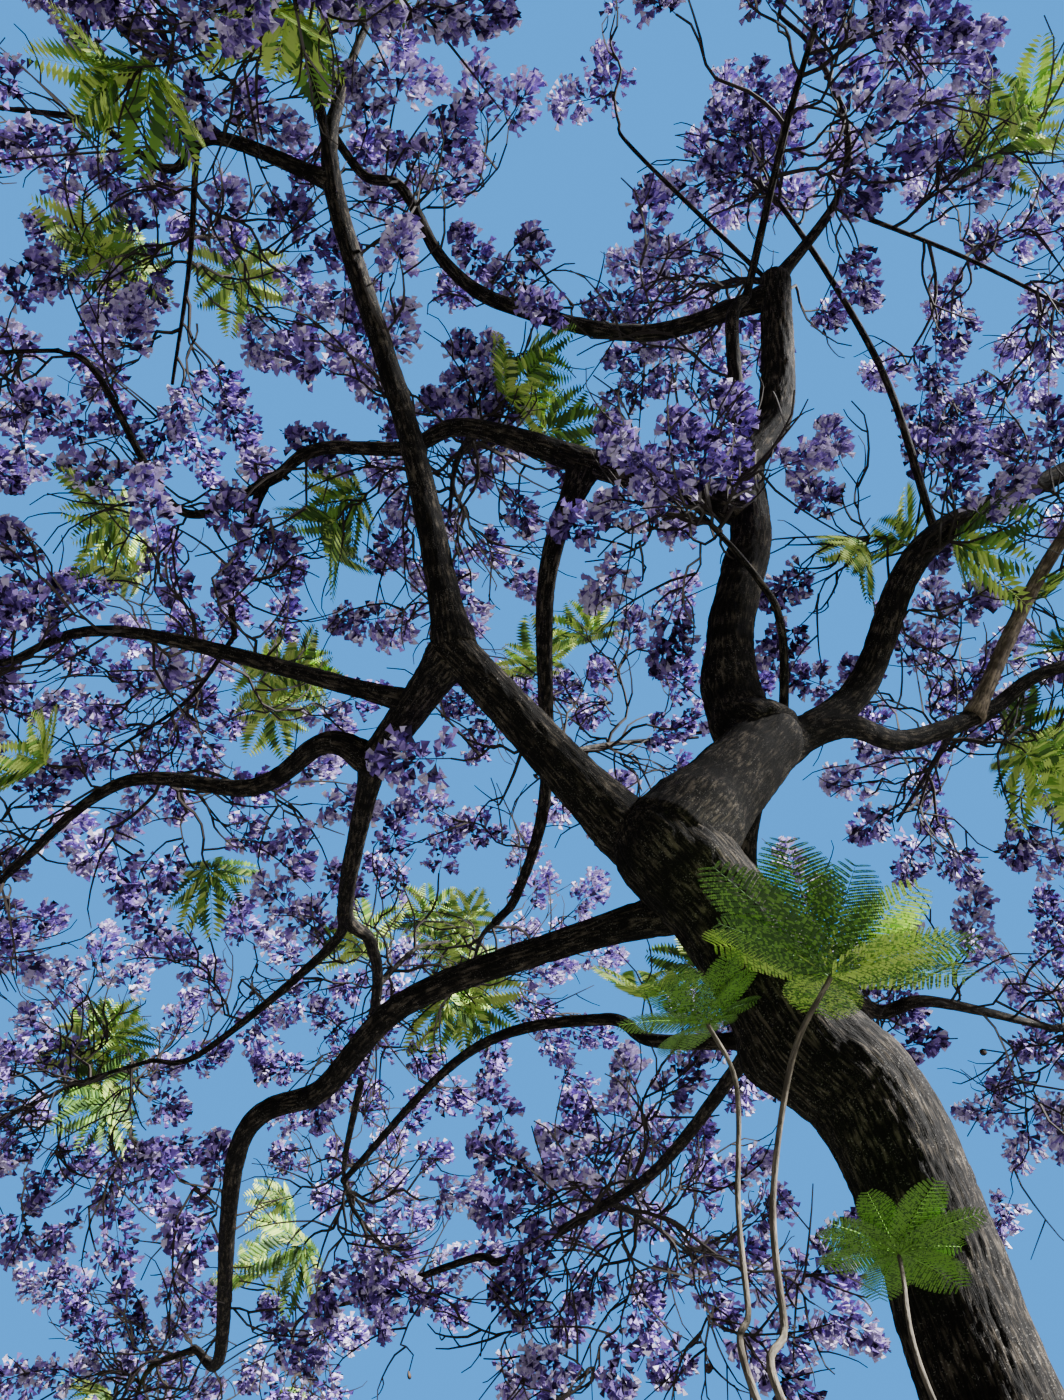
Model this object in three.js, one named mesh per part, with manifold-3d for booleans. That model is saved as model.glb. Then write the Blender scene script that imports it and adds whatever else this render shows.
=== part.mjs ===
// A jacaranda tree in blossom: a leaning trunk that forks at five metres, long sinuous boughs that
// spread into an open dome, and lilac sprays with ferny leaves at the ends of the twigs.
// Millimetres, +Z up. The origin is the middle of the trunk's flat cut at ground level.
// -Y is the front of the tree, +Y its back, -X its left and +X its right.
import * as THREE from "three";
import Module from "manifold-3d";

const wasm = await Module();
wasm.setup();

// Wood: clear gap at a seat, sides of a section, and the spacing of its rings
const SEAT_GAP = 0.3;
const TRUNK_SIDES = 16;
const BOUGH_SIDES = 8;
const LIMB_SIDES = 6;
const STEM_SIDES = 5;
const TWIG_SIDES = 3;
const SLIM_GIRTH = 90;
const RING_STEP = 640;
const TRUNK_RING_STEP = 480;

// A limb's collar: how much wider it is there, and where it ends, in radii of what carries it
const COLLAR = { wide: 0.3, end: 1.9 };

// The round knuckle of a limb that forks: place and size of its shoulder, in radii of the limb
const KNUCKLE = { shoulder: 0.68, girth: 0.76 };

// Root flare: how far it stands out, how fast it dies away upwards, and its lobes
const FLARE = { out: 135, rise: 330, lobes: 5, depth: 0.4 };
const FLARE_RINGS = [0, 90, 230, 450, 800];

// Sprays: a cluster of blossom and a ferny frond, each larger than one of the real ones
const BLOSSOM = { length: 480, wide: 0.8, belly: 0.46, flat: 1 };
const FROND = { length: 600, wide: 0.5, thick: 0.05, belly: 0.52, flat: 0.12 };
const SPRAY_SIZE = { least: 0.86, more: 0.28 };
const SPRAY_LIFT = 0.25;
const LEAFY_SHARE = 0.26;

// The corner of a three-sided section, in widths from its middle
const CORNER_REACH = 1 / Math.sqrt(3);

// The stem of a mass: turn and droop of its second half in degrees, girths, and where twigs stand
const STEM_TURN = 36;
const STEM_DROOP = { least: 4, more: 10 };
const STEM_GIRTH = { most: 60, tip: 26, onTip: 0.96, onSide: 0.6 };
const BARE_SHARE = 0.1;
const LAST_TWIG = 0.97;

// Side twigs: their count, turn round the stem, opening in degrees, lift, and length as a share
const SIDE_TWIGS = 6;
const GOLDEN_TURN = Math.PI * (3 - Math.sqrt(5));
const TURN_PLAY = 0.7;
const OPEN_ANGLE = [66, 40];
const TWIG_LIFT = 0.12;
const TWIG_SHARE = [0.5, 0.3];
const TWIG_PLAY = { least: 0.85, more: 0.3 };
const TWIG_GIRTH = [20, 12];
const SPREAD = { most: 2200, rod: 1300 };
const END_TWIG = { length: 120, sunk: 80 };

// Forks of the side twigs, and the shorter lengths tried where a full one has no room
const FORK = { from: 0.3, swing: 0.85, onward: 0.2, least: 0.5, more: 0.2 };
const FORK_GIRTH = [8, 8];
const TRIED_LENGTHS = [1, 0.72, 0.48];

// Room: between spaces, round wood, between the middles of sprays; and where a space has its site
const CELL_MARGIN = 6;
const LIMB_CLEAR = 25;
const CAPSULE = { step: 260, wide: 1.1 };
const CROWDING = 490;
const SITE_SHARE = 0.62;

// A leg is [length, heading, climb]: heading is in degrees from +Y towards +X, climb from level.
// A girth is the diameter at the start of each leg and at the end. A limb starts on the centre
// line of the limb that carries it, so many legs along it. One that forks ends in a round knuckle.
const TRUNK = {
  girth: [560, 520, 455, 440, 480, 490, 475, 500],
  legs: [
    [900, 0, 90],
    [1970, -121, 87],
    [470, 162, 86],
    [550, -153, 76],
    [350, -117, 55],
    [600, -135, 63],
    [410, -127, 53],
  ],
  forks: true,
};

const LIMBS = {
  bough_right: { on: "trunk", at: 7, girth: [400, 365], legs: [[1000, 80, 47]], forks: true },
  bough_left: {
    on: "trunk", at: 7, girth: [270, 240, 200], legs: [[300, -107, 42], [1120, -134, 41]], forks: true,
  },
  low_back_bough: {
    on: "trunk", at: 6.2, girth: [165, 135, 130, 125, 115, 95, 60],
    legs: [
      [780, -67, 12], [960, -65, 7], [930, -40, 5], [830, -51, 4], [3070, -20, 2], [900, -35, 25],
    ],
  },
  left_leader: {
    on: "bough_left", at: 2, girth: [175, 135, 118, 62, 42],
    legs: [[1410, -172, 65], [1840, -167, 56], [850, 159, 59], [760, 141, 55]],
  },
  front_left_arm: {
    on: "left_leader", at: 2, girth: [102, 84, 55, 45, 30],
    legs: [[840, -112, 29], [430, -68, 21], [570, -125, 25], [650, -103, 22]],
  },
  left_elbow: { on: "bough_left", at: 2, girth: [190, 180], legs: [[1000, -37, 12]], forks: true },
  left_arm: {
    on: "left_elbow", at: 0.45, girth: [105, 70, 40], legs: [[1890, -97, 28], [1020, -72, 21]],
  },
  left_bow: {
    on: "left_elbow", at: 1, girth: [140, 120, 105, 75, 50],
    legs: [[280, -121, 12], [700, -54, 17], [940, -86, 20], [1590, -53, 13]],
  },
  back_left_bough: {
    on: "left_elbow", at: 1, girth: [125, 102, 85, 78, 55],
    legs: [[1500, -20, 10], [500, 6, 11], [890, -11, 9], [2590, -19, 7]],
  },
  back_left_arm: {
    on: "back_left_bough", at: 1, girth: [80, 66, 48, 36],
    legs: [[580, -28, 10], [1920, -46, 10], [470, -76, 13]],
  },
  right_leader: {
    on: "bough_right", at: 1, girth: [320, 285, 266, 251, 235, 232, 205],
    legs: [
      [260, -88, 72], [600, 148, 72], [680, 125, 60], [560, 156, 62], [550, 115, 51], [990, 156, 55],
    ],
    forks: true,
  },
  top_arm: {
    on: "right_leader", at: 5.9, girth: [140, 122, 108, 88, 74, 64, 42, 32],
    legs: [
      [920, -79, 12], [970, -108, 11], [500, -131, 12], [530, -158, 13], [350, -115, 31], [840, -154, 34],
      [260, 174, 35],
    ],
  },
  middle_arm: {
    on: "right_leader", at: 3.4, girth: [195, 172, 112, 94, 82, 70, 58, 44, 30],
    legs: [
      [1000, -114, 9], [790, -110, 18], [430, -74, 16], [590, -92, 16], [480, -62, 14], [670, -77, 14],
      [980, -160, 24], [290, -126, 23],
    ],
  },
  middle_back_arm: {
    on: "middle_arm", at: 1.05, girth: [158, 118, 94, 76, 58],
    legs: [[860, -24, -4], [1700, -8, -3], [1030, -20, -2], [340, -39, -2]],
  },
  middle_spur: { on: "middle_arm", at: 5, girth: [72, 55, 42], legs: [[800, -32, 5], [510, -16, 4]] },
  leader_twist: {
    on: "right_leader", at: 3.9, girth: [100, 88, 60], legs: [[990, 169, 49], [310, 118, 54]],
  },
  right_arm: {
    on: "bough_right", at: 1, girth: [230, 190, 177, 170, 130, 75],
    legs: [[280, 53, 31], [700, 81, 40], [1080, 117, 47], [1450, 84, 32], [1300, 95, 20]],
  },
  right_low_arm: {
    on: "right_arm", at: 0.8, girth: [140, 132, 126, 100, 80, 50],
    legs: [[430, 75, 22], [610, 49, 20], [760, 75, 25], [630, 90, 26], [1500, 75, 15]],
  },
  right_pale_arm: {
    on: "right_low_arm", at: 2.8, girth: [108, 92, 55], legs: [[1270, 114, 45], [1100, 135, 20]],
  },
  top_right_arm: {
    on: "right_leader", at: 6, girth: [84, 62, 50, 40, 30],
    legs: [[890, 117, 40], [560, 153, 45], [630, -168, 46], [400, -141, 44]],
  },
  under_left_limb: {
    on: "trunk", at: 5, girth: [68, 60, 57, 54, 42],
    legs: [[715, -66, 24], [290, -83, 39], [1120, -46, 23], [2330, -31, 13]],
  },
  under_back_limb: {
    on: "trunk", at: 5.3, girth: [72, 64, 62, 58, 55, 48, 36],
    legs: [
      [1940, -16, 12], [1020, -25, 14], [1440, -34, 13], [260, -71, 20], [1610, -45, 13], [570, -56, 14],
    ],
  },
  back_right_bough: {
    on: "bough_right", at: 0.9, girth: [120, 112, 108, 98, 78, 50],
    legs: [[780, -6, -3], [540, 18, 4], [1380, 28, 3], [460, 77, 5], [1460, 50, 8]],
  },
};

// A mass grows on the tip of its limb, or from its side where `at` says how many legs along.
// `to` is the [reach, heading, climb] of its stem. `bare` is the share of the stem with no twigs.
const MASSES = {
  mass_front_left: { on: "front_left_arm", to: [2100, -105, 2] },
  mass_front_left_side: { on: "front_left_arm", at: 1.3, to: [1900, -25, 22] },
  mass_front: { on: "left_leader", to: [2000, 165, -8] },
  mass_front_high: { on: "top_arm", to: [2000, -150, -6] },
  mass_left_high: { on: "middle_arm", to: [2100, -95, 14] },
  mass_left_back_high: { on: "middle_spur", to: [2000, -42, 18] },
  mass_centre: { on: "middle_arm", at: 1.9, to: [1700, -20, 50] },
  mass_left: { on: "left_arm", to: [1900, -84, 16] },
  mass_left_outer: { on: "left_bow", to: [1600, -66, 12] },
  mass_left_over: { on: "left_bow", at: 2.9, to: [2000, -8, 48] },
  mass_back_left_outer: { on: "back_left_arm", to: [1700, -62, 14] },
  mass_back_left: { on: "back_left_bough", to: [1700, -14, 14] },
  mass_back_left_over: { on: "back_left_bough", at: 2.8, to: [1900, 20, 52] },
  mass_low_back_left: { on: "low_back_bough", to: [1600, -48, 10] },
  mass_back_high: { on: "middle_back_arm", to: [2200, -14, 34] },
  mass_centre_back: { on: "middle_back_arm", at: 1.8, to: [2200, 42, 42] },
  mass_under_left: { on: "under_left_limb", to: [1500, -8, 12] },
  mass_under_back: { on: "under_back_limb", to: [1300, -30, 12] },
  mass_back_low: { on: "under_back_limb", at: 1.9, to: [2200, 14, 16] },
  mass_back_right: { on: "back_right_bough", to: [2200, 44, 26] },
  mass_back: { on: "back_right_bough", at: 2.7, to: [2300, -8, 36] },
  mass_top: { on: "right_leader", at: 6, to: [1700, -20, 74] },
  mass_front_right_high: { on: "top_right_arm", to: [1900, 176, -14] },
  mass_right_high: { on: "top_right_arm", at: 0.9, to: [2300, 62, 2], bare: 0.15 },
  mass_right: { on: "right_arm", to: [1800, 96, 12] },
  mass_right_low: { on: "right_low_arm", to: [1900, 66, 14] },
  mass_right_back: { on: "right_low_arm", at: 2.6, to: [2500, 16, 36], bare: 0.2 },
  mass_front_right_low: { on: "right_pale_arm", to: [1900, 142, 8] },
  mass_front_right: { on: "leader_twist", to: [2300, 162, 8], bare: 0.25 },
  mass_front_low: { on: "left_leader", at: 1.9, to: [2200, 178, -6], bare: 0.25 },
};

// Straight watershoots that end in blossom, and leafy suckers from the foot of the trunk
const RODS = {
  rod_right: {
    on: "right_arm", at: 3.1, girth: [58, 30], bare: 0.72, count: 5,
    legs: [[1460, 173, 65], [1550, -159, 59], [600, -128, 62]],
  },
  rod_middle: {
    on: "right_arm", at: 0.7, girth: [56, 28], bare: 0.78, count: 3,
    legs: [[610, 168, 39], [330, -160, 47], [600, -139, 45]],
  },
  rod_top: {
    on: "right_leader", at: 5.95, girth: [36, 18], bare: 1, count: 0,
    legs: [[1570, -137, 50], [260, -158, 49], [330, 170, 66]],
  },
};

// The rosette at a sucker's top: how upright its fronds stand, their uneven turn, and how deep
// their roots are sunk along the stem and along themselves
const ROSETTE = { upright: 0.75, turn: 0.4, sunk: 14, rooted: 10 };
const SUCKERS = {
  sucker_tall: {
    on: "trunk", at: 0.75, girth: [28, 20], fronds: 8, frond: 620,
    legs: [
      [1000, -138, 58], [1370, -134, 60], [290, 42, 74], [350, 131, 76], [460, 127, 60], [320, 107, 48],
    ],
  },
  sucker_left: {
    on: "trunk", at: 0.95, girth: [26, 18], fronds: 5, frond: 420,
    legs: [
      [900, -118, 44], [1390, -143, 66], [410, 15, 59], [360, 46, 77], [440, 121, 74], [250, -145, 69],
    ],
  },
  sucker_low: {
    on: "trunk", at: 1.2, girth: [20, 14], fronds: 5, frond: 360,
    legs: [[700, -165, 45], [980, -139, 62], [530, 27, 70]],
  },
};

const COLOURS = { bark: 0x3b332d, pale_bark: 0x8d7c66, blossom: 0x8f7bc6, leaf: 0x6d9436 };
const BARK_ROUGHNESS = 0.92;
const LEAF_ROUGHNESS = 0.8;

// Each mass, rod and sucker has its own seed
const FIRST_SEED = 11;
const SEED_STEP = 17;

// A seeded stream of numbers from 0 to 1, the same on every run
function seeded(seed) {
  let state = seed >>> 0;
  return () => {
    state = (state + 0x6d2b79f5) >>> 0;
    let mixed = Math.imul(state ^ (state >>> 15), state | 1);
    mixed = (mixed + Math.imul(mixed ^ (mixed >>> 7), mixed | 61)) ^ mixed;
    return ((mixed ^ (mixed >>> 14)) >>> 0) / 4294967296;
  };
}

// The vector of one leg
function legVector([length, heading, climb]) {
  const turn = THREE.MathUtils.degToRad(heading);
  const rise = THREE.MathUtils.degToRad(climb);
  const flat = length * Math.cos(rise);
  return new THREE.Vector3(flat * Math.sin(turn), flat * Math.cos(turn), length * Math.sin(rise));
}

// The centre line of a limb: a smooth curve through the joints of its legs
function centreLine(start, legs) {
  const joints = [start.clone()];
  for (const leg of legs) {
    joints.push(joints[joints.length - 1].clone().add(legVector(leg)));
  }
  return new THREE.CatmullRomCurve3(joints, false, "catmullrom", 0.5);
}

// The radius a share of the way along the legs, straight between the girths of the joints
function radiusAt(girth, share) {
  const place = THREE.MathUtils.clamp(share, 0, 1) * (girth.length - 1);
  const index = Math.min(Math.floor(place), girth.length - 2);
  return THREE.MathUtils.lerp(girth[index], girth[index + 1], place - index) / 2;
}

// The share of a line's whole length that lies before a station
function shareOf(line, at) {
  return Math.min(1, at / line.length);
}

// Two directions across a line, carried along it from ring to ring so that the tube never twists
function acrossFrames(tangents) {
  const first = new THREE.Vector3(1, 0, 0);
  const frames = [];
  let side = first.addScaledVector(tangents[0], -first.dot(tangents[0])).normalize();
  for (const tangent of tangents) {
    side = side.clone().addScaledVector(tangent, -side.dot(tangent)).normalize();
    frames.push([side, new THREE.Vector3().crossVectors(tangent, side)]);
  }
  return frames;
}

// A solid from its points and the corners of its faces
function manifoldOf(points, faces) {
  return new wasm.Manifold(new wasm.Mesh({
    numProp: 3,
    vertProperties: Float32Array.from(points.flatMap((point) => point.toArray())),
    triVerts: Uint32Array.from(faces),
  }));
}

// A closed skin over rings of equal count: side walls, and a fan to one point at each end
function skinOf(rings, startPoint, endPoint) {
  const sides = rings[0].length;
  const points = [startPoint, ...rings.flat(), endPoint];
  const last = points.length - 1;
  const faces = [];
  for (let k = 0; k < sides; k += 1) {
    const next = (k + 1) % sides;
    faces.push(0, 1 + next, 1 + k);
    for (let ring = 0; ring < rings.length - 1; ring += 1) {
      const low = 1 + ring * sides;
      const high = low + sides;
      faces.push(low + k, low + next, high + next, low + k, high + next, high + k);
    }
    const top = 1 + (rings.length - 1) * sides;
    faces.push(last, top + k, top + next);
  }
  return manifoldOf(points, faces);
}

// One ring of a tube, its first corner on the second direction; the radius may depend on the
// angle round it, and `flat` is the share of the radius that is left along the second direction
function ringOf(centre, [side, across], sides, radius, flat = 1) {
  return Array.from({ length: sides }, (_, k) => {
    const turn = Math.PI / 2 + (2 * Math.PI * k) / sides;
    const reach = typeof radius === "function" ? radius(turn) : radius;
    return centre.clone()
      .addScaledVector(side, reach * Math.cos(turn))
      .addScaledVector(across, reach * Math.sin(turn) * flat);
  });
}

// A tapering tube along a centre line. Stations are lengths along it. A limb that forks is closed
// by a round knuckle, and any other by a flat end. A grown tube is larger by `grow` all round.
function tubeOf(limb, stations, sides, radius, grow) {
  const { curve } = limb;
  const centres = stations.map((at) => curve.getPointAt(shareOf(limb, at)));
  const tangents = stations.map((at) => curve.getTangentAt(shareOf(limb, at)));
  centres[0].addScaledVector(tangents[0], -grow);
  centres[centres.length - 1].addScaledVector(tangents[tangents.length - 1], grow);
  const frames = acrossFrames(tangents);
  const rings = stations.map((at, index) => ringOf(centres[index], frames[index], sides, radius(at)));
  const tip = centres[centres.length - 1];
  const onward = tangents[tangents.length - 1];
  if (!limb.forks) {
    return skinOf(rings, centres[0], tip);
  }
  const end = radiusAt(limb.girth, 1) + grow;
  const shoulder = tip.clone().addScaledVector(onward, end * KNUCKLE.shoulder);
  rings.push(ringOf(shoulder, frames[frames.length - 1], sides, end * KNUCKLE.girth));
  return skinOf(rings, centres[0], tip.clone().addScaledVector(onward, end));
}

// The trunk: tapering, with a lobed flare at its foot
function trunkSolid(trunk, grow) {
  const stations = [...FLARE_RINGS];
  const flareTop = FLARE_RINGS[FLARE_RINGS.length - 1];
  const count = Math.round((trunk.length - flareTop) / TRUNK_RING_STEP);
  const step = (trunk.length - flareTop) / count;
  for (let index = 1; index <= count; index += 1) {
    stations.push(flareTop + index * step);
  }
  const radius = (at) => (turn) => {
    const share = trunk.curve.getUtoTmapping(shareOf(trunk, at));
    const lobe = 1 + FLARE.depth * Math.cos(FLARE.lobes * turn);
    return radiusAt(trunk.girth, share) + grow + FLARE.out * lobe * Math.exp(-at / FLARE.rise);
  };
  return tubeOf(trunk, stations, TRUNK_SIDES, radius, grow);
}

// A bough or limb: tapering, with a collar where it leaves what carries it
function limbSolid(limb, grow) {
  const collarEnd = limb.seat * COLLAR.end;
  const rest = limb.length - collarEnd;
  const count = Math.max(2, Math.round(rest / RING_STEP));
  const stations = [0, limb.seat, collarEnd];
  for (let index = 1; index <= count; index += 1) {
    stations.push(collarEnd + (rest * index) / count);
  }
  const sides = limb.girth[0] > SLIM_GIRTH ? BOUGH_SIDES : LIMB_SIDES;
  const radius = (at) => {
    const share = limb.curve.getUtoTmapping(shareOf(limb, at));
    const collar = 1 + COLLAR.wide * Math.exp(-Math.max(0, at - limb.seat) / limb.seat);
    return radiusAt(limb.girth, share) * collar + grow;
  };
  return tubeOf(limb, stations, sides, radius, grow);
}

// The straight pieces of a wooden line, as capsules that later twigs keep clear of
function capsulesOf(wood, owner) {
  const pieces = Math.max(4, Math.round(wood.length / CAPSULE.step));
  return Array.from({ length: pieces }, (_, index) => {
    const share = index / pieces;
    return {
      owner,
      from: wood.curve.getPointAt(share),
      to: wood.curve.getPointAt((index + 1) / pieces),
      radius: radiusAt(wood.girth, wood.curve.getUtoTmapping(share)) * CAPSULE.wide,
    };
  });
}

// Shortest distance between two straight pieces
function pieceDistance(a, b, c, d) {
  const along = b.clone().sub(a);
  const other = d.clone().sub(c);
  const between = a.clone().sub(c);
  const aa = Math.max(along.dot(along), 1e-9);
  const bb = Math.max(other.dot(other), 1e-9);
  const ab = along.dot(other);
  const ac = along.dot(between);
  const bc = other.dot(between);
  const spread = aa * bb - ab * ab;
  let s = spread > 1e-9 ? THREE.MathUtils.clamp((ab * bc - ac * bb) / spread, 0, 1) : 0;
  const t = THREE.MathUtils.clamp((ab * s + bc) / bb, 0, 1);
  s = THREE.MathUtils.clamp((ab * t - ac) / aa, 0, 1);
  const near = a.clone().addScaledVector(along, s);
  return near.distanceTo(c.clone().addScaledVector(other, t));
}

// Whether a capsule keeps clear of all wood but its own
function clearOfWood(from, to, radius, owner, capsules) {
  return capsules.every((wood) => wood.owner === owner
    || pieceDistance(from, to, wood.from, wood.to) > radius + wood.radius + LIMB_CLEAR);
}

// Whether a point with some room round it lies in the space nearest to its own mass's middle
function insideSpace(point, room, site, sites) {
  return sites.every((other) => other === site
    || (point.distanceToSquared(other) - point.distanceToSquared(site)) / (2 * other.distanceTo(site))
      > room + CELL_MARGIN);
}

// A frond of eight faces: its root, its tip, and the four corners of its widest section
function frondSolid(root, along, length) {
  const [side, across] = acrossFrames([along])[0];
  const middle = root.clone().addScaledVector(along, length * FROND.belly);
  const corners = [
    middle.clone().addScaledVector(side, (length * FROND.wide) / 2),
    middle.clone().addScaledVector(across, (length * FROND.thick) / 2),
    middle.clone().addScaledVector(side, (-length * FROND.wide) / 2),
    middle.clone().addScaledVector(across, (-length * FROND.thick) / 2),
  ];
  return skinOf([corners], root, root.clone().addScaledVector(along, length));
}

// A three-sided twig and the spray at its end in one skin: the root of the twig is sunk in the
// wood that carries it, and the spray widens from the twig's end and closes in a point
function sprayedTwig(from, end, girth, onward, spray, turn) {
  const along = end.clone().sub(from).normalize();
  const ways = [along, onward];
  const frames = acrossFrames(ways).map(
    (frame, index) => frame.map((way) => way.applyAxisAngle(ways[index], turn)),
  );
  const belly = end.clone().addScaledVector(onward, spray.length * spray.belly);
  const corner = spray.length * spray.wide * CORNER_REACH;
  const rings = [
    ringOf(from, frames[0], TWIG_SIDES, girth[0] / 2),
    ringOf(end, frames[1], TWIG_SIDES, girth[1] / 2),
    ringOf(belly, frames[1], TWIG_SIDES, corner, spray.flat),
  ];
  return skinOf(rings, from, end.clone().addScaledVector(onward, spray.length));
}

// The direction lifted towards the sky by a share
function lifted(direction, share) {
  return direction.clone().addScaledVector(new THREE.Vector3(0, 0, 1), share).normalize();
}

// The direction at an angle from a first towards a second one that is square to it
function mixed(first, second, angle) {
  return first.clone().multiplyScalar(Math.cos(angle)).addScaledVector(second, Math.sin(angle));
}

// Joins all the pieces of a mass and keeps its one body, without loose scraps
function joined(pieces) {
  return largest(wasm.Manifold.union(pieces));
}

// The largest separate body of a solid
function largest(solid) {
  return solid.decompose().reduce((best, body) => (body.volume() > best.volume() ? body : best));
}

// A solid without what earlier wood, grown by the seat gap, takes from it
function cutBy(solid, grown) {
  return grown.reduce((rest, earlier) => rest.subtract(earlier), solid);
}

// The stem of a mass: two legs, the second one turned a little by the mass's own stream
function stemLegs(mass, random) {
  const [reach, heading, climb] = mass.to;
  const turn = (random() - 0.5) * STEM_TURN;
  const droop = STEM_DROOP.least + random() * STEM_DROOP.more;
  return [[reach * 0.5, heading, climb], [reach * 0.5, heading + turn, climb - droop]];
}

// The stem of a mass or rod starts on the tip of its limb, SEAT_GAP clear, or inside its side
function stemStart(mass, carrier) {
  if (mass.at !== undefined) {
    return carrier.curve.getPoint(mass.at / carrier.legs.length);
  }
  return carrier.curve.getPoint(1).addScaledVector(carrier.curve.getTangent(1), SEAT_GAP);
}

// The wood of a stem: rings square to its line, the first one square to the tip that it meets
function stemSolid(stem) {
  const count = Math.max(2, Math.round(stem.length / RING_STEP));
  const stations = Array.from({ length: count + 1 }, (_, index) => (stem.length * index) / count);
  const centres = stations.map((at) => stem.curve.getPointAt(shareOf(stem, at)));
  const tangents = stations.map((at) => stem.curve.getTangentAt(shareOf(stem, at)));
  if (stem.tipTangent) {
    tangents[0] = stem.tipTangent;
  }
  const frames = acrossFrames(tangents);
  const rings = stations.map((at, index) => {
    const share = stem.curve.getUtoTmapping(shareOf(stem, at));
    return ringOf(centres[index], frames[index], STEM_SIDES, radiusAt(stem.girth, share));
  });
  return skinOf(rings, centres[0], centres[centres.length - 1]);
}

// The twigs and sprays of a mass: side twigs leave the stem by the golden turn, each forks once,
// and a twig or spray that would leave the mass's space or come near other wood is skipped
function massTwigs(mass, sites, capsules, random) {
  const pieces = [];
  const middles = [];
  const fits = (from, to, radius) => insideSpace(from, radius, mass.site, sites)
    && insideSpace(to, radius, mass.site, sites)
    && clearOfWood(from, to, radius, mass.name, capsules);
  const addTwig = (from, along, length, girth, leafy, turn) => {
    const kind = leafy ? FROND : BLOSSOM;
    const onward = lifted(along, SPRAY_LIFT);
    const size = SPRAY_SIZE.least + SPRAY_SIZE.more * ((turn * 7) % 1);
    const spray = { ...kind, length: kind.length * size };
    for (const share of TRIED_LENGTHS) {
      const end = from.clone().addScaledVector(along, length * share);
      const tip = end.clone().addScaledVector(onward, spray.length);
      const middle = end.clone().lerp(tip, 0.5);
      const crowded = middles.some((other) => other.distanceTo(middle) < CROWDING);
      if (!crowded && fits(from, end, girth[1]) && fits(end, tip, (spray.length * spray.wide) / 2)) {
        middles.push(middle);
        pieces.push(sprayedTwig(from, end, girth, onward, spray, turn * Math.PI));
        return;
      }
    }
  };
  for (let index = 0; index < mass.twigs; index += 1) {
    const step = (index + 0.5) / mass.twigs;
    const share = THREE.MathUtils.lerp(mass.bare, LAST_TWIG, step);
    const [turn, reach, tint, fork, side] = Array.from({ length: 5 }, random);
    const from = mass.curve.getPointAt(share);
    const tangent = mass.curve.getTangentAt(share);
    const [sideways, across] = acrossFrames([tangent])[0];
    const round = index * GOLDEN_TURN + turn * TURN_PLAY;
    const open = THREE.MathUtils.degToRad(THREE.MathUtils.lerp(...OPEN_ANGLE, step));
    const outward = mixed(sideways, across, round);
    const along = lifted(mixed(tangent, outward, open), TWIG_LIFT);
    const play = TWIG_PLAY.least + TWIG_PLAY.more * reach;
    const length = mass.spread * THREE.MathUtils.lerp(...TWIG_SHARE, step) * play;
    addTwig(from, along, length, TWIG_GIRTH, tint < LEAFY_SHARE, reach);
    const swing = side < 0.5 ? FORK.swing : -FORK.swing;
    const forked = along.clone().applyAxisAngle(tangent, swing).lerp(tangent, FORK.onward).normalize();
    const crotch = from.clone().addScaledVector(along, length * FORK.from);
    const forkLength = length * (FORK.least + FORK.more * fork);
    addTwig(crotch, forked, forkLength, FORK_GIRTH, fork < LEAFY_SHARE, side);
  }
  const last = mass.curve.getTangent(1);
  const lastFrom = mass.curve.getPoint(1).addScaledVector(last, -END_TWIG.sunk);
  addTwig(lastFrom, last, END_TWIG.length, FORK_GIRTH, false, 0);
  return pieces;
}

// The fronds at the top of a sucker: a ring of blades that lean outwards
function suckerFronds(sucker, random) {
  const top = sucker.curve.getPoint(1);
  const up = sucker.curve.getTangent(1);
  const [side, across] = acrossFrames([up])[0];
  return Array.from({ length: sucker.fronds }, (_, index) => {
    const round = (2 * Math.PI * index) / sucker.fronds + random() * ROSETTE.turn;
    const along = up.clone().multiplyScalar(ROSETTE.upright).add(mixed(side, across, round)).normalize();
    const root = top.clone().addScaledVector(up, -ROSETTE.sunk).addScaledVector(along, -ROSETTE.rooted);
    return frondSolid(root, along, sucker.frond);
  });
}

// One named mesh from a finished solid
function meshOf(name, solid, colour, roughness) {
  const { vertProperties, triVerts } = solid.getMesh();
  const geometry = new THREE.BufferGeometry();
  geometry.setAttribute("position", new THREE.BufferAttribute(vertProperties, 3));
  geometry.setIndex(new THREE.BufferAttribute(triVerts, 1));
  geometry.computeVertexNormals();
  const material = new THREE.MeshStandardMaterial({ color: colour, roughness, metalness: 0 });
  const mesh = new THREE.Mesh(geometry, material);
  mesh.name = name;
  return mesh;
}

// The wooden lines: the trunk first, then each limb on the one that carries it
function layWood() {
  const trunk = { ...TRUNK, name: "trunk", curve: centreLine(new THREE.Vector3(), TRUNK.legs) };
  trunk.length = trunk.curve.getLength();
  const wood = { trunk };
  for (const [name, limb] of Object.entries(LIMBS)) {
    const carrier = wood[limb.on];
    const curve = centreLine(carrier.curve.getPoint(limb.at / carrier.legs.length), limb.legs);
    const seat = radiusAt(carrier.girth, limb.at / carrier.legs.length);
    wood[name] = { ...limb, name, curve, seat, length: curve.getLength() };
  }
  return wood;
}

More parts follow.
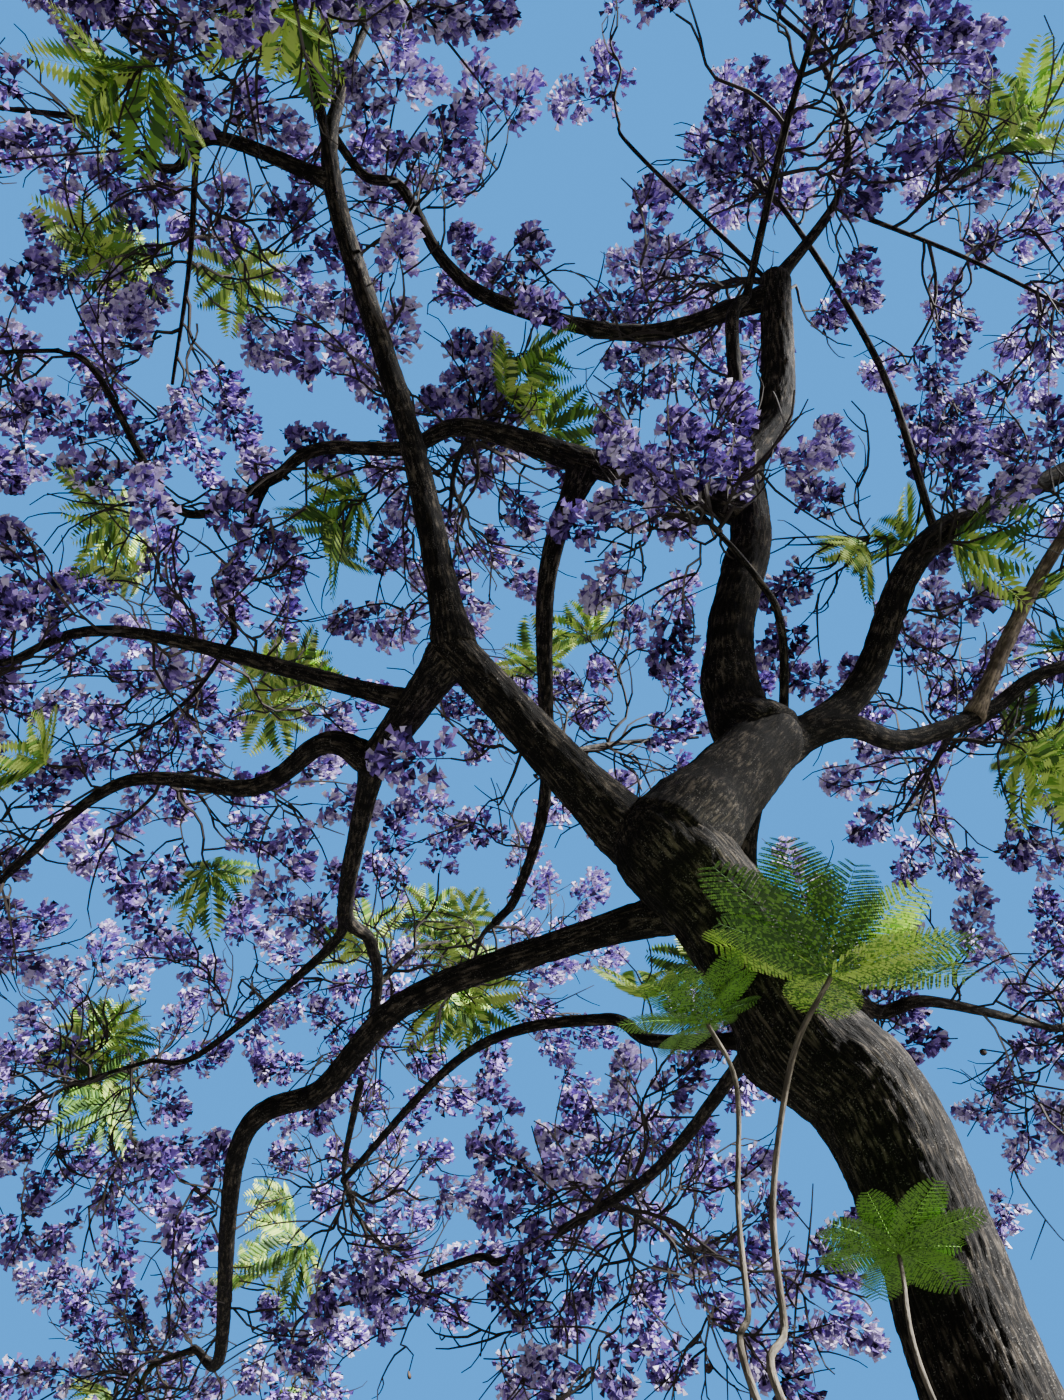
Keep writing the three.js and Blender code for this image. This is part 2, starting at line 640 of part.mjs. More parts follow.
// The stems of masses, rods and suckers, each with its own stream of numbers
function layStems(wood) {
  const stems = [];
  let seed = FIRST_SEED;
  for (const [name, plan] of Object.entries({ ...MASSES, ...RODS, ...SUCKERS })) {
    const carrier = wood[plan.on];
    const random = seeded(seed);
    seed += SEED_STEP;
    const legs = plan.legs ?? stemLegs(plan, random);
    const curve = centreLine(stemStart(plan, carrier), legs);
    const onTip = plan.at === undefined;
    const share = onTip ? 1 : plan.at / carrier.legs.length;
    const fill = onTip ? STEM_GIRTH.onTip : STEM_GIRTH.onSide;
    const footGirth = Math.min(2 * radiusAt(carrier.girth, share) * fill, STEM_GIRTH.most);
    stems.push({
      ...plan,
      name,
      legs,
      curve,
      random,
      length: curve.getLength(),
      girth: plan.girth ?? [footGirth, STEM_GIRTH.tip],
      bare: plan.bare ?? BARE_SHARE,
      twigs: plan.count ?? SIDE_TWIGS,
      spread: plan.to ? Math.min(plan.to[0], SPREAD.most) : SPREAD.rod,
      site: plan.to ? curve.getPointAt(SITE_SHARE) : curve.getPoint(1),
      tipTangent: onTip ? carrier.curve.getTangent(1) : undefined,
    });
  }
  return stems;
}

// The wood of the tree: each limb is cut to its seat by all that was made before it
function growLimbs(wood, tree) {
  const grown = [];
  for (const limb of Object.values(wood)) {
    const make = limb.name === "trunk" ? trunkSolid : limbSolid;
    const colour = limb.name === "right_pale_arm" ? COLOURS.pale_bark : COLOURS.bark;
    tree.add(meshOf(limb.name, largest(cutBy(make(limb, 0), grown)), colour, BARK_ROUGHNESS));
    grown.push(make(limb, SEAT_GAP));
  }
  return grown;
}

// The masses, rods and suckers, each cut to its seat on the wood
function growFoliage(wood, stems, grown, tree) {
  const capsules = Object.values(wood).flatMap((limb) => capsulesOf(limb, limb.name));
  capsules.push(...stems.flatMap((stem) => capsulesOf(stem, stem.name)));
  const sites = stems.map((stem) => stem.site);
  for (const stem of stems) {
    const leafy = stem.fronds > 0;
    const sprays = leafy
      ? suckerFronds(stem, stem.random)
      : massTwigs(stem, sites, capsules, stem.random);
    const solid = joined([stemSolid(stem), ...sprays]);
    const seated = stem.tipTangent ? solid : largest(cutBy(solid, grown));
    const colour = leafy ? COLOURS.leaf : COLOURS.blossom;
    tree.add(meshOf(stem.name, seated, colour, LEAF_ROUGHNESS));
  }
}

const tree = new THREE.Group();
const wood = layWood();
const stems = layStems(wood);
const grown = growLimbs(wood, tree);
growFoliage(wood, stems, grown, tree);

export default tree;
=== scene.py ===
"""A jacaranda tree in blossom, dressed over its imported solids: barked limbs, twigs, sprays.

Everything is in metres, +Z up. -Y is the front of the tree, +Y its back, -X its left and +X its
right. The wood follows the same legs as the part's source, and the crown grows by the same rule
from the same seeded streams, carried on to finer twigs within each mass's own space.
"""

import logging
import math
from dataclasses import dataclass, field
from enum import Enum, IntEnum

import bpy
import numpy as np
from mathutils import Matrix, Vector


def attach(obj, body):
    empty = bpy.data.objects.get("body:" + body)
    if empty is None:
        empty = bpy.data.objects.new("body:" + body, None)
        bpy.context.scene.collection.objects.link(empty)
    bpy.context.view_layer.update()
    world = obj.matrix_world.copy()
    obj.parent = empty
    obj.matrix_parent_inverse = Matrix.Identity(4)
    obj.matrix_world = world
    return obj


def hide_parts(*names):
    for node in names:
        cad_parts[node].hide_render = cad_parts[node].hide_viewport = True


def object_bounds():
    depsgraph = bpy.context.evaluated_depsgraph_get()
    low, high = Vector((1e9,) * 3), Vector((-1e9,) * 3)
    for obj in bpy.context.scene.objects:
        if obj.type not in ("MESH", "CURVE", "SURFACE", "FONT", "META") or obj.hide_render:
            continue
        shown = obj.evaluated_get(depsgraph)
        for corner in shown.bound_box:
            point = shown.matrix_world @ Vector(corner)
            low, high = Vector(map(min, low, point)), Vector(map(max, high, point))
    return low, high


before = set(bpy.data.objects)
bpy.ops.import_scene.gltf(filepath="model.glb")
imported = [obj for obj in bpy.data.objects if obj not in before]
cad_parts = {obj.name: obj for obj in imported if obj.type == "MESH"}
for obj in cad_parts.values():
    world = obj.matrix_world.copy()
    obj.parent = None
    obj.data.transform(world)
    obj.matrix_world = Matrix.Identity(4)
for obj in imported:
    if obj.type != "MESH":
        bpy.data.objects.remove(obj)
CAD_BOX = [list(corner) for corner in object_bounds()]

LOG = logging.getLogger("jacaranda")
Array = np.ndarray
Leg = tuple[float, float, float]
Colour = tuple[float, float, float]
UP = np.array([0.0, 0.0, 1.0])
MM = 0.001
TINY = 1e-12
# Where the crown's quarters meet, across and back
QUARTERS_MEET = (-1.1, 0.1)


@dataclass(frozen=True)
class LimbPlan:
    """A limb: what carries it, how many legs along, its girths in mm, and its legs.

    A leg is (length in mm, heading in degrees from +Y towards +X, climb from level).
    """

    on: str
    at: float
    girth: tuple[float, ...]
    legs: tuple[Leg, ...]
    forks: bool = False


@dataclass(frozen=True)
class StemPlan:
    """The stem of a mass, rod or sucker: `at` is None where it starts on the tip of its limb."""

    on: str
    at: float | None
    to: Leg | None = None
    legs: tuple[Leg, ...] = ()
    girth: tuple[float, ...] = ()
    bare: float = 0.1
    count: int = 6
    fronds: int = 0
    frond: float = 0.6


LIMBS = {
    "trunk": LimbPlan("", 0, (560, 520, 455, 440, 480, 490, 475, 500), ((900, 0, 90), (1970, -121,
        87), (470, 162, 86), (550, -153, 76), (350, -117, 55), (600, -135, 63), (410, -127, 53)),
        forks=True),
    "bough_right": LimbPlan("trunk", 7, (400, 365), ((1000, 80, 47),), forks=True),
    "bough_left": LimbPlan("trunk", 7, (270, 240, 200), ((300, -107, 42), (1120, -134, 41)),
        forks=True),
    "low_back_bough": LimbPlan("trunk", 6.2, (165, 135, 130, 125, 115, 95, 60), ((780, -67, 12),
        (960, -65, 7), (930, -40, 5), (830, -51, 4), (3070, -20, 2), (900, -35, 25))),
    "left_leader": LimbPlan("bough_left", 2, (175, 135, 118, 62, 42), ((1410, -172, 65), (1840,
        -167, 56), (850, 159, 59), (760, 141, 55))),
    "front_left_arm": LimbPlan("left_leader", 2, (102, 84, 55, 45, 30), ((840, -112, 29), (430,
        -68, 21), (570, -125, 25), (650, -103, 22))),
    "left_elbow": LimbPlan("bough_left", 2, (190, 180), ((1000, -37, 12),), forks=True),
    "left_arm": LimbPlan("left_elbow", 0.45, (105, 70, 40), ((1890, -97, 28), (1020, -72, 21))),
    "left_bow": LimbPlan("left_elbow", 1, (140, 120, 105, 75, 50), ((280, -121, 12), (700, -54,
        17), (940, -86, 20), (1590, -53, 13))),
    "back_left_bough": LimbPlan("left_elbow", 1, (125, 102, 85, 78, 55), ((1500, -20, 10), (500,
        6, 11), (890, -11, 9), (2590, -19, 7))),
    "back_left_arm": LimbPlan("back_left_bough", 1, (80, 66, 48, 36), ((580, -28, 10), (1920, -46,
        10), (470, -76, 13))),
    "right_leader": LimbPlan("bough_right", 1, (320, 285, 266, 251, 235, 232, 205), ((260, -88,
        72), (600, 148, 72), (680, 125, 60), (560, 156, 62), (550, 115, 51), (990, 156, 55)),
        forks=True),
    "top_arm": LimbPlan("right_leader", 5.9, (140, 122, 108, 88, 74, 64, 42, 32), ((920, -79, 12),
        (970, -108, 11), (500, -131, 12), (530, -158, 13), (350, -115, 31), (840, -154, 34), (260,
        174, 35))),
    "middle_arm": LimbPlan("right_leader", 3.4, (195, 172, 112, 94, 82, 70, 58, 44, 30), ((1000,
        -114, 9), (790, -110, 18), (430, -74, 16), (590, -92, 16), (480, -62, 14), (670, -77, 14),
        (980, -160, 24), (290, -126, 23))),
    "middle_back_arm": LimbPlan("middle_arm", 1.05, (158, 118, 94, 76, 58), ((860, -24, -4), (1700,
        -8, -3), (1030, -20, -2), (340, -39, -2))),
    "middle_spur": LimbPlan("middle_arm", 5, (72, 55, 42), ((800, -32, 5), (510, -16, 4))),
    "leader_twist": LimbPlan("right_leader", 3.9, (100, 88, 60), ((990, 169, 49), (310, 118, 54))),
    "right_arm": LimbPlan("bough_right", 1, (230, 190, 177, 170, 130, 75), ((280, 53, 31), (700,
        81, 40), (1080, 117, 47), (1450, 84, 32), (1300, 95, 20))),
    "right_low_arm": LimbPlan("right_arm", 0.8, (140, 132, 126, 100, 80, 50), ((430, 75, 22),
        (610, 49, 20), (760, 75, 25), (630, 90, 26), (1500, 75, 15))),
    "right_pale_arm": LimbPlan("right_low_arm", 2.8, (108, 92, 55), ((1270, 114, 45), (1100, 135,
        20))),
    "top_right_arm": LimbPlan("right_leader", 6, (84, 62, 50, 40, 30), ((890, 117, 40), (560, 153,
        45), (630, -168, 46), (400, -141, 44))),
    "under_left_limb": LimbPlan("trunk", 5, (68, 60, 57, 54, 42), ((715, -66, 24), (290, -83, 39),
        (1120, -46, 23), (2330, -31, 13))),
    "under_back_limb": LimbPlan("trunk", 5.3, (72, 64, 62, 58, 55, 48, 36), ((1940, -16, 12),
        (1020, -25, 14), (1440, -34, 13), (260, -71, 20), (1610, -45, 13), (570, -56, 14))),
    "back_right_bough": LimbPlan("bough_right", 0.9, (120, 112, 108, 98, 78, 50), ((780, -6, -3),
        (540, 18, 4), (1380, 28, 3), (460, 77, 5), (1460, 50, 8))),
}

STEMS = {
    "mass_front_left": StemPlan("front_left_arm", None, to=(2100, -105, 2)),
    "mass_front_left_side": StemPlan("front_left_arm", 1.3, to=(1900, -25, 22)),
    "mass_front": StemPlan("left_leader", None, to=(2000, 165, -8)),
    "mass_front_high": StemPlan("top_arm", None, to=(2000, -150, -6)),
    "mass_left_high": StemPlan("middle_arm", None, to=(2100, -95, 14)),
    "mass_left_back_high": StemPlan("middle_spur", None, to=(2000, -42, 18)),
    "mass_centre": StemPlan("middle_arm", 1.9, to=(1700, -20, 50)),
    "mass_left": StemPlan("left_arm", None, to=(1900, -84, 16)),
    "mass_left_outer": StemPlan("left_bow", None, to=(1600, -66, 12)),
    "mass_left_over": StemPlan("left_bow", 2.9, to=(2000, -8, 48)),
    "mass_back_left_outer": StemPlan("back_left_arm", None, to=(1700, -62, 14)),
    "mass_back_left": StemPlan("back_left_bough", None, to=(1700, -14, 14)),
    "mass_back_left_over": StemPlan("back_left_bough", 2.8, to=(1900, 20, 52)),
    "mass_low_back_left": StemPlan("low_back_bough", None, to=(1600, -48, 10)),
    "mass_back_high": StemPlan("middle_back_arm", None, to=(2200, -14, 34)),
    "mass_centre_back": StemPlan("middle_back_arm", 1.8, to=(2200, 42, 42)),
    "mass_under_left": StemPlan("under_left_limb", None, to=(1500, -8, 12)),
    "mass_under_back": StemPlan("under_back_limb", None, to=(1300, -30, 12)),
    "mass_back_low": StemPlan("under_back_limb", 1.9, to=(2200, 14, 16)),
    "mass_back_right": StemPlan("back_right_bough", None, to=(2200, 44, 26)),
    "mass_back": StemPlan("back_right_bough", 2.7, to=(2300, -8, 36)),
    "mass_top": StemPlan("right_leader", 6, to=(1700, -20, 74)),
    "mass_front_right_high": StemPlan("top_right_arm", None, to=(1900, 176, -14)),
    "mass_right_high": StemPlan("top_right_arm", 0.9, to=(2300, 62, 2), bare=0.15),
    "mass_right": StemPlan("right_arm", None, to=(1800, 96, 12)),
    "mass_right_low": StemPlan("right_low_arm", None, to=(1900, 66, 14)),
    "mass_right_back": StemPlan("right_low_arm", 2.6, to=(2500, 16, 36), bare=0.2),
    "mass_front_right_low": StemPlan("right_pale_arm", None, to=(1900, 142, 8)),
    "mass_front_right": StemPlan("leader_twist", None, to=(2300, 162, 8), bare=0.25),
    "mass_front_low": StemPlan("left_leader", 1.9, to=(2200, 178, -6), bare=0.25),
    "rod_right": StemPlan("right_arm", 3.1, legs=((1460, 173, 65), (1550, -159, 59), (600, -128,
        62)), girth=(58, 30), bare=0.72, count=5),
    "rod_middle": StemPlan("right_arm", 0.7, legs=((610, 168, 39), (330, -160, 47), (600, -139,
        45)), girth=(56, 28), bare=0.78, count=3),
    "rod_top": StemPlan("right_leader", 5.95, legs=((1570, -137, 50), (260, -158, 49), (330, 170,
        66)), girth=(36, 18), bare=1, count=0),
    "sucker_tall": StemPlan("trunk", 0.75, frond=0.62, legs=((1000, -138, 58), (1370, -134, 60),
        (290, 42, 74), (350, 131, 76), (460, 127, 60), (320, 107, 48)), girth=(28, 20), fronds=8),
    "sucker_left": StemPlan("trunk", 0.95, frond=0.42, legs=((900, -118, 44), (1390, -143, 66),
        (410, 15, 59), (360, 46, 77), (440, 121, 74), (250, -145, 69)), girth=(26, 18), fronds=5),
    "sucker_low": StemPlan("trunk", 1.2, frond=0.36, legs=((700, -165, 45), (980, -139, 62),
        (530, 27, 70)), girth=(20, 14), fronds=5),
}


class Quarter(Enum):
    """The quarters of the crown that its sprays and twigs are joined by."""

    FRONT_LEFT = "front_left"
    FRONT_RIGHT = "front_right"
    BACK_LEFT = "back_left"
    BACK_RIGHT = "back_right"

    @classmethod
    def of(cls, place: Array) -> "Quarter":
        """Finds the quarter that a place in the crown lies in."""
        left, front = place[:2] < QUARTERS_MEET
        return cls(f"{'front' if front else 'back'}_{'left' if left else 'right'}")


# Places in the photograph's frame, in pixels across and down. Open sky, with its radius:
SKY_GAPS = ((545, 40, 45), (560, 165, 58), (500, 225, 28), (215, 345, 34), (260, 395, 30),
            (345, 400, 28), (100, 825, 30), (190, 830, 34), (430, 880, 30), (490, 875, 32),
            (592, 800, 28), (588, 850, 26), (900, 260, 38), (930, 915, 36), (1010, 900, 38),
            (950, 1000, 34), (1000, 1035, 32), (985, 1170, 34), (1040, 1180, 30), (340, 1130, 28),
            (640, 700, 30), (900, 400, 26), (270, 750, 24), (725, 25, 38), (1010, 25, 34),
            (880, 215, 28), (940, 250, 34), (810, 365, 24), (915, 350, 26), (893, 470, 28),
            (830, 525, 30), (420, 200, 30), (60, 330, 26), (190, 500, 26), (665, 40, 46),
            (790, 40, 36), (820, 130, 24), (660, 100, 24), (165, 360, 46), (185, 300, 34),
            (300, 415, 34), (420, 380, 32), (490, 320, 28), (450, 60, 34), (230, 45, 26),
            (55, 45, 30), (470, 505, 28), (858, 630, 38), (920, 685, 24), (990, 795, 46),
            (105, 665, 30), (60, 865, 30), (235, 1105, 38), (170, 1135, 24),
            (535, 1085, 34), (325, 1250, 38), (265, 1290, 22), (380, 1350, 26), (620, 1255, 28),
            (625, 1345, 26), (935, 1110, 32), (885, 1350, 24), (930, 325, 24), (1000, 290, 28),
            (815, 280, 28), (1050, 980, 26), (665, 415, 24), (405, 120, 20), (450, 215, 22),
            (712, 62, 38), (635, 112, 26), (915, 320, 28), (842, 218, 22), (292, 135, 20),
            (75, 315, 22), (105, 905, 20), (12, 1115, 20), (350, 572, 20), (700, 740, 26))
# Rosettes of leaves:
LEAFY_SPOTS = ((545, 620), (270, 265), (105, 520), (325, 510), (130, 90), (50, 95), (440, 930),
               (370, 930), (455, 1000), (120, 1030), (120, 1110), (270, 1240), (1020, 560),
               (890, 500), (860, 560), (1040, 620), (1030, 740), (650, 960), (205, 860),
               (295, 680), (20, 760), (1020, 110), (315, 40), (110, 260), (555, 390))
# The largest clusters of blossom:
FULL_SPOTS = ((740, 150), (700, 110), (965, 465), (640, 250), (680, 470), (320, 370), (135, 340),
              (460, 400), (430, 30), (350, 1290), (180, 1170), (560, 1110))
# Clusters that the rule alone leaves out:
LED_SPOTS = ((690, 620), (655, 700), (520, 580), (800, 585), (850, 560), (790, 640), (815, 685),
             (940, 600), (980, 545), (1020, 555), (895, 165), (650, 215), (545, 365), (590, 385),
             (835, 445), (860, 265), (960, 420), (465, 170), (420, 160), (525, 280), (20, 170),
             (22, 290), (345, 295), (45, 790), (150, 930), (130, 985), (275, 905), (305, 1000),
             (255, 1040), (430, 810), (645, 975), (590, 1040), (690, 1080), (1010, 1210),
             (605, 1145), (535, 1195), (530, 1285), (505, 1305), (185, 1215), (65, 1235),
             (20, 1385), (775, 1170), (1045, 860), (100, 520), (890, 530), (1045, 625), (325, 1020),
             (345, 630), (312, 560), (370, 530), (50, 600), (480, 85), (430, 20), (905, 65),
             (1025, 90), (50, 140), (960, 485), (700, 385), (830, 1350), (410, 1305), (135, 1330),
             (45, 1295), (200, 1245), (320, 1125), (120, 870), (330, 845), (400, 815), (955, 215),
             (5, 485), (845, 455), (785, 475), (830, 20), (985, 80), (262, 125), (20, 1225),
             (910, 645), (935, 1040), (975, 1055), (490, 790), (150, 1005))


# The rounds of finer twigs: their girths in mm, and where they leave their carriers
FINER_ROUNDS = (((22, 13), (0.3, 0.45, 0.6, 0.75, 0.9)), ((19, 11), (0.45, 0.7, 0.9)),
                ((16, 10), (0.5, 0.85)))


class Seed(IntEnum):
    """The first seed of each random stream; an order in a table is added to it."""

    PANICLES = 31
    LEAVES = 61
    SUCKER_LEAVES = 90
    LIMB_BARK = 100
    STEM_BARK = 300
    SUCKER_BARK = 400
    MOTTLING = 500
    BARE_TWIGS = 600
    BETWEEN_TWIGS = 5000
    LIMB_TWIGS = 7000
    LED_TWIGS = 8000
    FINER_TWIGS = 9000


class Spray(Enum):
    """What a twig ends in."""

    BLOSSOM = "blossom"
    LEAFY = "leafy"
    POD = "pod"


def unit(vectors: Array) -> Array:
    """Divides vectors by their own lengths."""
    return vectors / np.maximum(np.linalg.norm(vectors, axis=-1, keepdims=True), TINY)


def lerp(low: float, high: float, share: float | Array) -> float | Array:
    """Goes a share of the way from one number to another."""
    return low + (high - low) * share


def lifted(direction: Array, share: float) -> Array:
    """Turns a direction towards the sky by a share."""
    return unit(direction + share * UP)


def turned(vector: Array, axis: Array, angle: float) -> Array:
    """Turns a vector round a unit axis: v cos a + (k x v) sin a + k (k . v)(1 - cos a)."""
    return (vector * math.cos(angle) + np.cross(axis, vector) * math.sin(angle)
            + axis * float(axis @ vector) * (1 - math.cos(angle)))


def cross_frames(tangents: Array) -> tuple[Array, Array]:
    """Carries two directions across a line along it, so that a tube round it never twists.

    Args:
        tangents: Unit tangents, (..., stations, 3).

    Returns:
        The two directions: each is the one before it with its part along the tangent removed.
    """
    sides = np.empty_like(tangents)
    side = np.broadcast_to(np.array([1.0, 0.0, 0.0]), tangents[..., 0, :].shape)
    for station in range(tangents.shape[-2]):
        tangent = tangents[..., station, :]
        side = unit(side - tangent * np.sum(side * tangent, axis=-1, keepdims=True))
        sides[..., station, :] = side
    return sides, np.cross(tangents, sides)


def side_ways(ways: Array) -> tuple[Array, Array]:
    """Finds two directions across each of many directions, (..., 3)."""
    side, across = cross_frames(ways[..., None, :])
    return side[..., 0, :], across[..., 0, :]


def round_ways(side: Array, across: Array, turn: Array) -> Array:
    """Finds directions at many angles from side to across: side cos + across sin."""
    return side[..., None, :] * np.cos(turn)[..., None] + across[..., None, :] * np.sin(turn)[..., None]


def branched(way: Array, angle: float | Array, opened: float | Array) -> tuple[Array, Array]:
    """Opens new directions from those of their carriers.

    Args:
        way: The carriers' directions, (..., 3).
        angle: Where each new one leaves round its carrier, in radians.
        opened: The angle between the two, in radians.

    Returns:
        The new directions, way cos(opened) + outward sin(opened), and outward, square to way.
    """
    side, across = side_ways(way)
    outward = side * np.cos(angle) + across * np.sin(angle)
    return way * np.cos(opened) + outward * np.sin(opened), outward


def turns(corners: int) -> Array:
    """Finds the angles of the corners of a ring."""
    return 2 * np.pi * np.arange(corners) / corners


def rim(corners: int, radius: float | Array, high: float | Array) -> Array:
    """Places the corners of a level ring.

    Args:
        corners: How many there are.
        radius: Their distance from the middle, one for all or one for each.
        high: Their height, one for all or one for each.

    Returns:
        Points, (corners, 3).
    """
    turn = turns(corners)
    return np.stack([radius * np.cos(turn), radius * np.sin(turn), high + 0 * turn], axis=1)


def fan(middle: int, first: int, corners: int, backwards: bool = False) -> Array:
    """Numbers the triangles between a middle point and a ring of corners.

    Args:
        middle: The number of the middle point.
        first: The number of the ring's first corner.
        corners: How many corners it has.
        backwards: Whether the triangles run round the ring backwards.

    Returns:
        Triangles, (corners, 3).
    """
    step = np.arange(corners)
    edge = [first + step, first + (step + 1) % corners]
    return np.stack([np.full(corners, middle), *(edge[::-1] if backwards else edge)], axis=1)


def leg_vector(leg: Leg) -> Array:
    """Turns a leg into a vector.

    Args:
        leg: Length in mm, heading and climb in degrees.

    Returns:
        The vector in metres.
    """
    length, heading, climb = leg
    turn, rise = math.radians(heading), math.radians(climb)
    flat = math.cos(rise)
    return length * MM * np.array([flat * math.sin(turn), flat * math.cos(turn), math.sin(rise)])


@dataclass(frozen=True)
class Sight:
    """How the photograph sees the tree: from where, which way, and what falls on a pixel."""

    at: tuple[float, float, float] = (-1.2, -4.3, 1.6)
    elevation: float = 52.0
    roll: float = 10.0
    focal_pixels: float = 1080.0
    size: tuple[float, float] = (1064.0, 1400.0)
    nearest: float = 0.5
    far_outside: float = -9999.0

    def axes(self) -> Array:
        """Finds how the view is turned.

        Returns:
            The directions that point right, up and onward in the frame, as rows.
        """
        rise, roll = math.radians(self.elevation), math.radians(self.roll)
        onward = np.array([0, math.cos(rise), math.sin(rise)])
        level, upright = np.array([1.0, 0, 0]), np.array([0, -math.sin(rise), math.cos(rise)])
        return np.array([math.cos(roll) * level - math.sin(roll) * upright,
                         math.sin(roll) * level + math.cos(roll) * upright, onward])

    def pixels(self, points: Array) -> Array:
        """Finds the pixels that points fall on.

        Args:
            points: Points in metres, (n, 3).

        Returns:
            Pixels, (n, 2): the frame's middle plus the focal length times the slopes across and
            down. A point nearer than the nearest depth falls far outside the frame.
        """
        right, above, depth = ((points - np.array(self.at)) @ self.axes().T).T
        near = depth < self.nearest
        scale = self.focal_pixels / np.where(near, 1.0, depth)
        across = np.where(near, self.far_outside, self.size[0] / 2 + right * scale)
        return np.stack([across, self.size[1] / 2 - above * scale], axis=1)

    def point(self, pixel: tuple[int, int], depth: float) -> Array:
        """Finds the point that falls on a pixel.

        Args:
            pixel: The pixel, across and down.
            depth: How far onward the point is.

        Returns:
            The point in metres.
        """
        right, above, onward = self.axes()
        across, down = (np.array(pixel) - np.array(self.size) / 2) / self.focal_pixels
        return np.array(self.at) + depth * (onward + across * right - down * above)

    def framed(self, pixel: Array) -> bool:
        """Tells whether a pixel is in the frame."""
        return bool(np.all(pixel > 0) and np.all(pixel < np.array(self.size)))

    @staticmethod
    def open_sky(pixels: Array) -> Array:
        """Tells where the photograph shows open sky.

        Args:
            pixels: Pixels, (n, 2).

        Returns:
            Whether each of them lies in one of the round gaps.
        """
        gaps = np.array(SKY_GAPS, dtype=float)
        away = np.linalg.norm(pixels[:, None] - gaps[None, :, :2], axis=-1)
        return np.any(away < gaps[None, :, 2], axis=1)

    @staticmethod
    def close_to(pixel: Array, spots: tuple[tuple[int, int], ...], reach: float) -> bool:
        """Tells whether a pixel is within reach of one of the named spots."""
        return bool(np.min(np.linalg.norm(np.array(spots) - pixel, axis=1)) < reach)


class Stream:
    """The source's seeded stream of numbers from 0 to 1, in whole-number steps of 32 bits."""

    MASK = 0xFFFFFFFF
    STEP = 0x6D2B79F5

    def __init__(self, seed: int) -> None:
        """Keeps the seed."""
        self.state = seed & self.MASK

    def draw(self) -> float:
        """Takes the next number.

        Returns:
            A number from 0 to 1, the same in every run.
        """
        self.state = (self.state + self.STEP) & self.MASK
        mixed = ((self.state ^ (self.state >> 15)) * (self.state | 1)) & self.MASK
        mixed = ((mixed + (((mixed ^ (mixed >> 7)) * (mixed | 61)) & self.MASK)) ^ mixed) & self.MASK
        return (mixed ^ (mixed >> 14)) / (self.MASK + 1)

    def between(self, low: float, high: float) -> float:
        """Takes the next number between two bounds."""
        return lerp(low, high, self.draw())


class CentreLine:
    """A smooth line through the joints of its legs, a Catmull-Rom curve of tension a half.

    Each span is the cubic through its own two joints whose slope at a joint is half the step
    between the joints on both sides of it. The line's ends are reflected.
    """

    DIVISIONS = 200
    NUDGE = 1e-4

    def __init__(self, start: Array, legs: tuple[Leg, ...]) -> None:
        """Lays the joints and measures the line in DIVISIONS straight pieces.

        Args:
            start: Its first point.
            legs: Its legs in order.
        """
        steps = np.array([leg_vector(leg) for leg in legs])
        self.joints = np.vstack([start, start + np.cumsum(steps, axis=0)])
        first = 2 * self.joints[0] - self.joints[1]
        last = 2 * self.joints[-1] - self.joints[-2]
        self.knots = np.vstack([first, self.joints, last])
        self.places = np.linspace(0.0, 1.0, self.DIVISIONS + 1)
        pieces = np.linalg.norm(np.diff(self.point(self.places), axis=0), axis=-1)
        self.run = np.concatenate([[0.0], np.cumsum(pieces)])
        self.length = float(self.run[-1])

    def point(self, place: float | Array) -> Array:
        """Finds points at shares of the joints' count.

        Args:
            place: Shares from 0 to 1.

        Returns:
            Points, one row for each share.
        """
        spot = np.clip(place, 0.0, 1.0) * (len(self.joints) - 1)
        index = np.minimum(np.floor(spot).astype(int), len(self.joints) - 2)
        w = (spot - index)[..., None]
        before, low, high, after = (self.knots[index + step] for step in range(4))
        rise, fall = (high - before) / 2, (after - low) / 2
        return (low + rise * w + (3 * (high - low) - 2 * rise - fall) * w ** 2
                + (2 * (low - high) + rise + fall) * w ** 3)

    def tangent(self, place: float | Array) -> Array:
        """Finds unit tangents from two points close by on both sides of each place."""
        ahead = self.point(np.clip(np.asarray(place) + self.NUDGE, 0, 1))
        return unit(ahead - self.point(np.clip(np.asarray(place) - self.NUDGE, 0, 1)))

    def place_at(self, share: float | Array) -> Array:
        """Turns shares of the length into shares of the joints' count."""
        return np.interp(np.clip(share, 0, 1) * self.length, self.run, self.places)


def girth_at(girth: tuple[float, ...], place: float | Array) -> Array:
    """Finds radii in metres, straight between the girths of the joints."""
    return np.interp(np.asarray(place) * (len(girth) - 1), range(len(girth)), girth) / 2 * MM


@dataclass
class Gathered:
    """Patches of mesh gathered for one joined piece."""

    points: list[Array] = field(default_factory=list)
    faces: list[Array] = field(default_factory=list)
    tints: list[Array] = field(default_factory=list)
    size: int = 0

    def add(self, points: Array, faces: Array, tints: Array | int = 0) -> None:
        """Adds a patch.

        Args:
            points: Its points, (n, 3).
            faces: Its triangles, (m, 3).
            tints: The finish of each triangle, or of all.
        """
        if len(faces) == 0:
            return
        self.points.append(points.reshape(-1, 3))
        self.faces.append(faces.reshape(-1, 3) + self.size)
        self.tints.append(np.broadcast_to(tints, (self.faces[-1].shape[0],)))
        self.size += self.points[-1].shape[0]


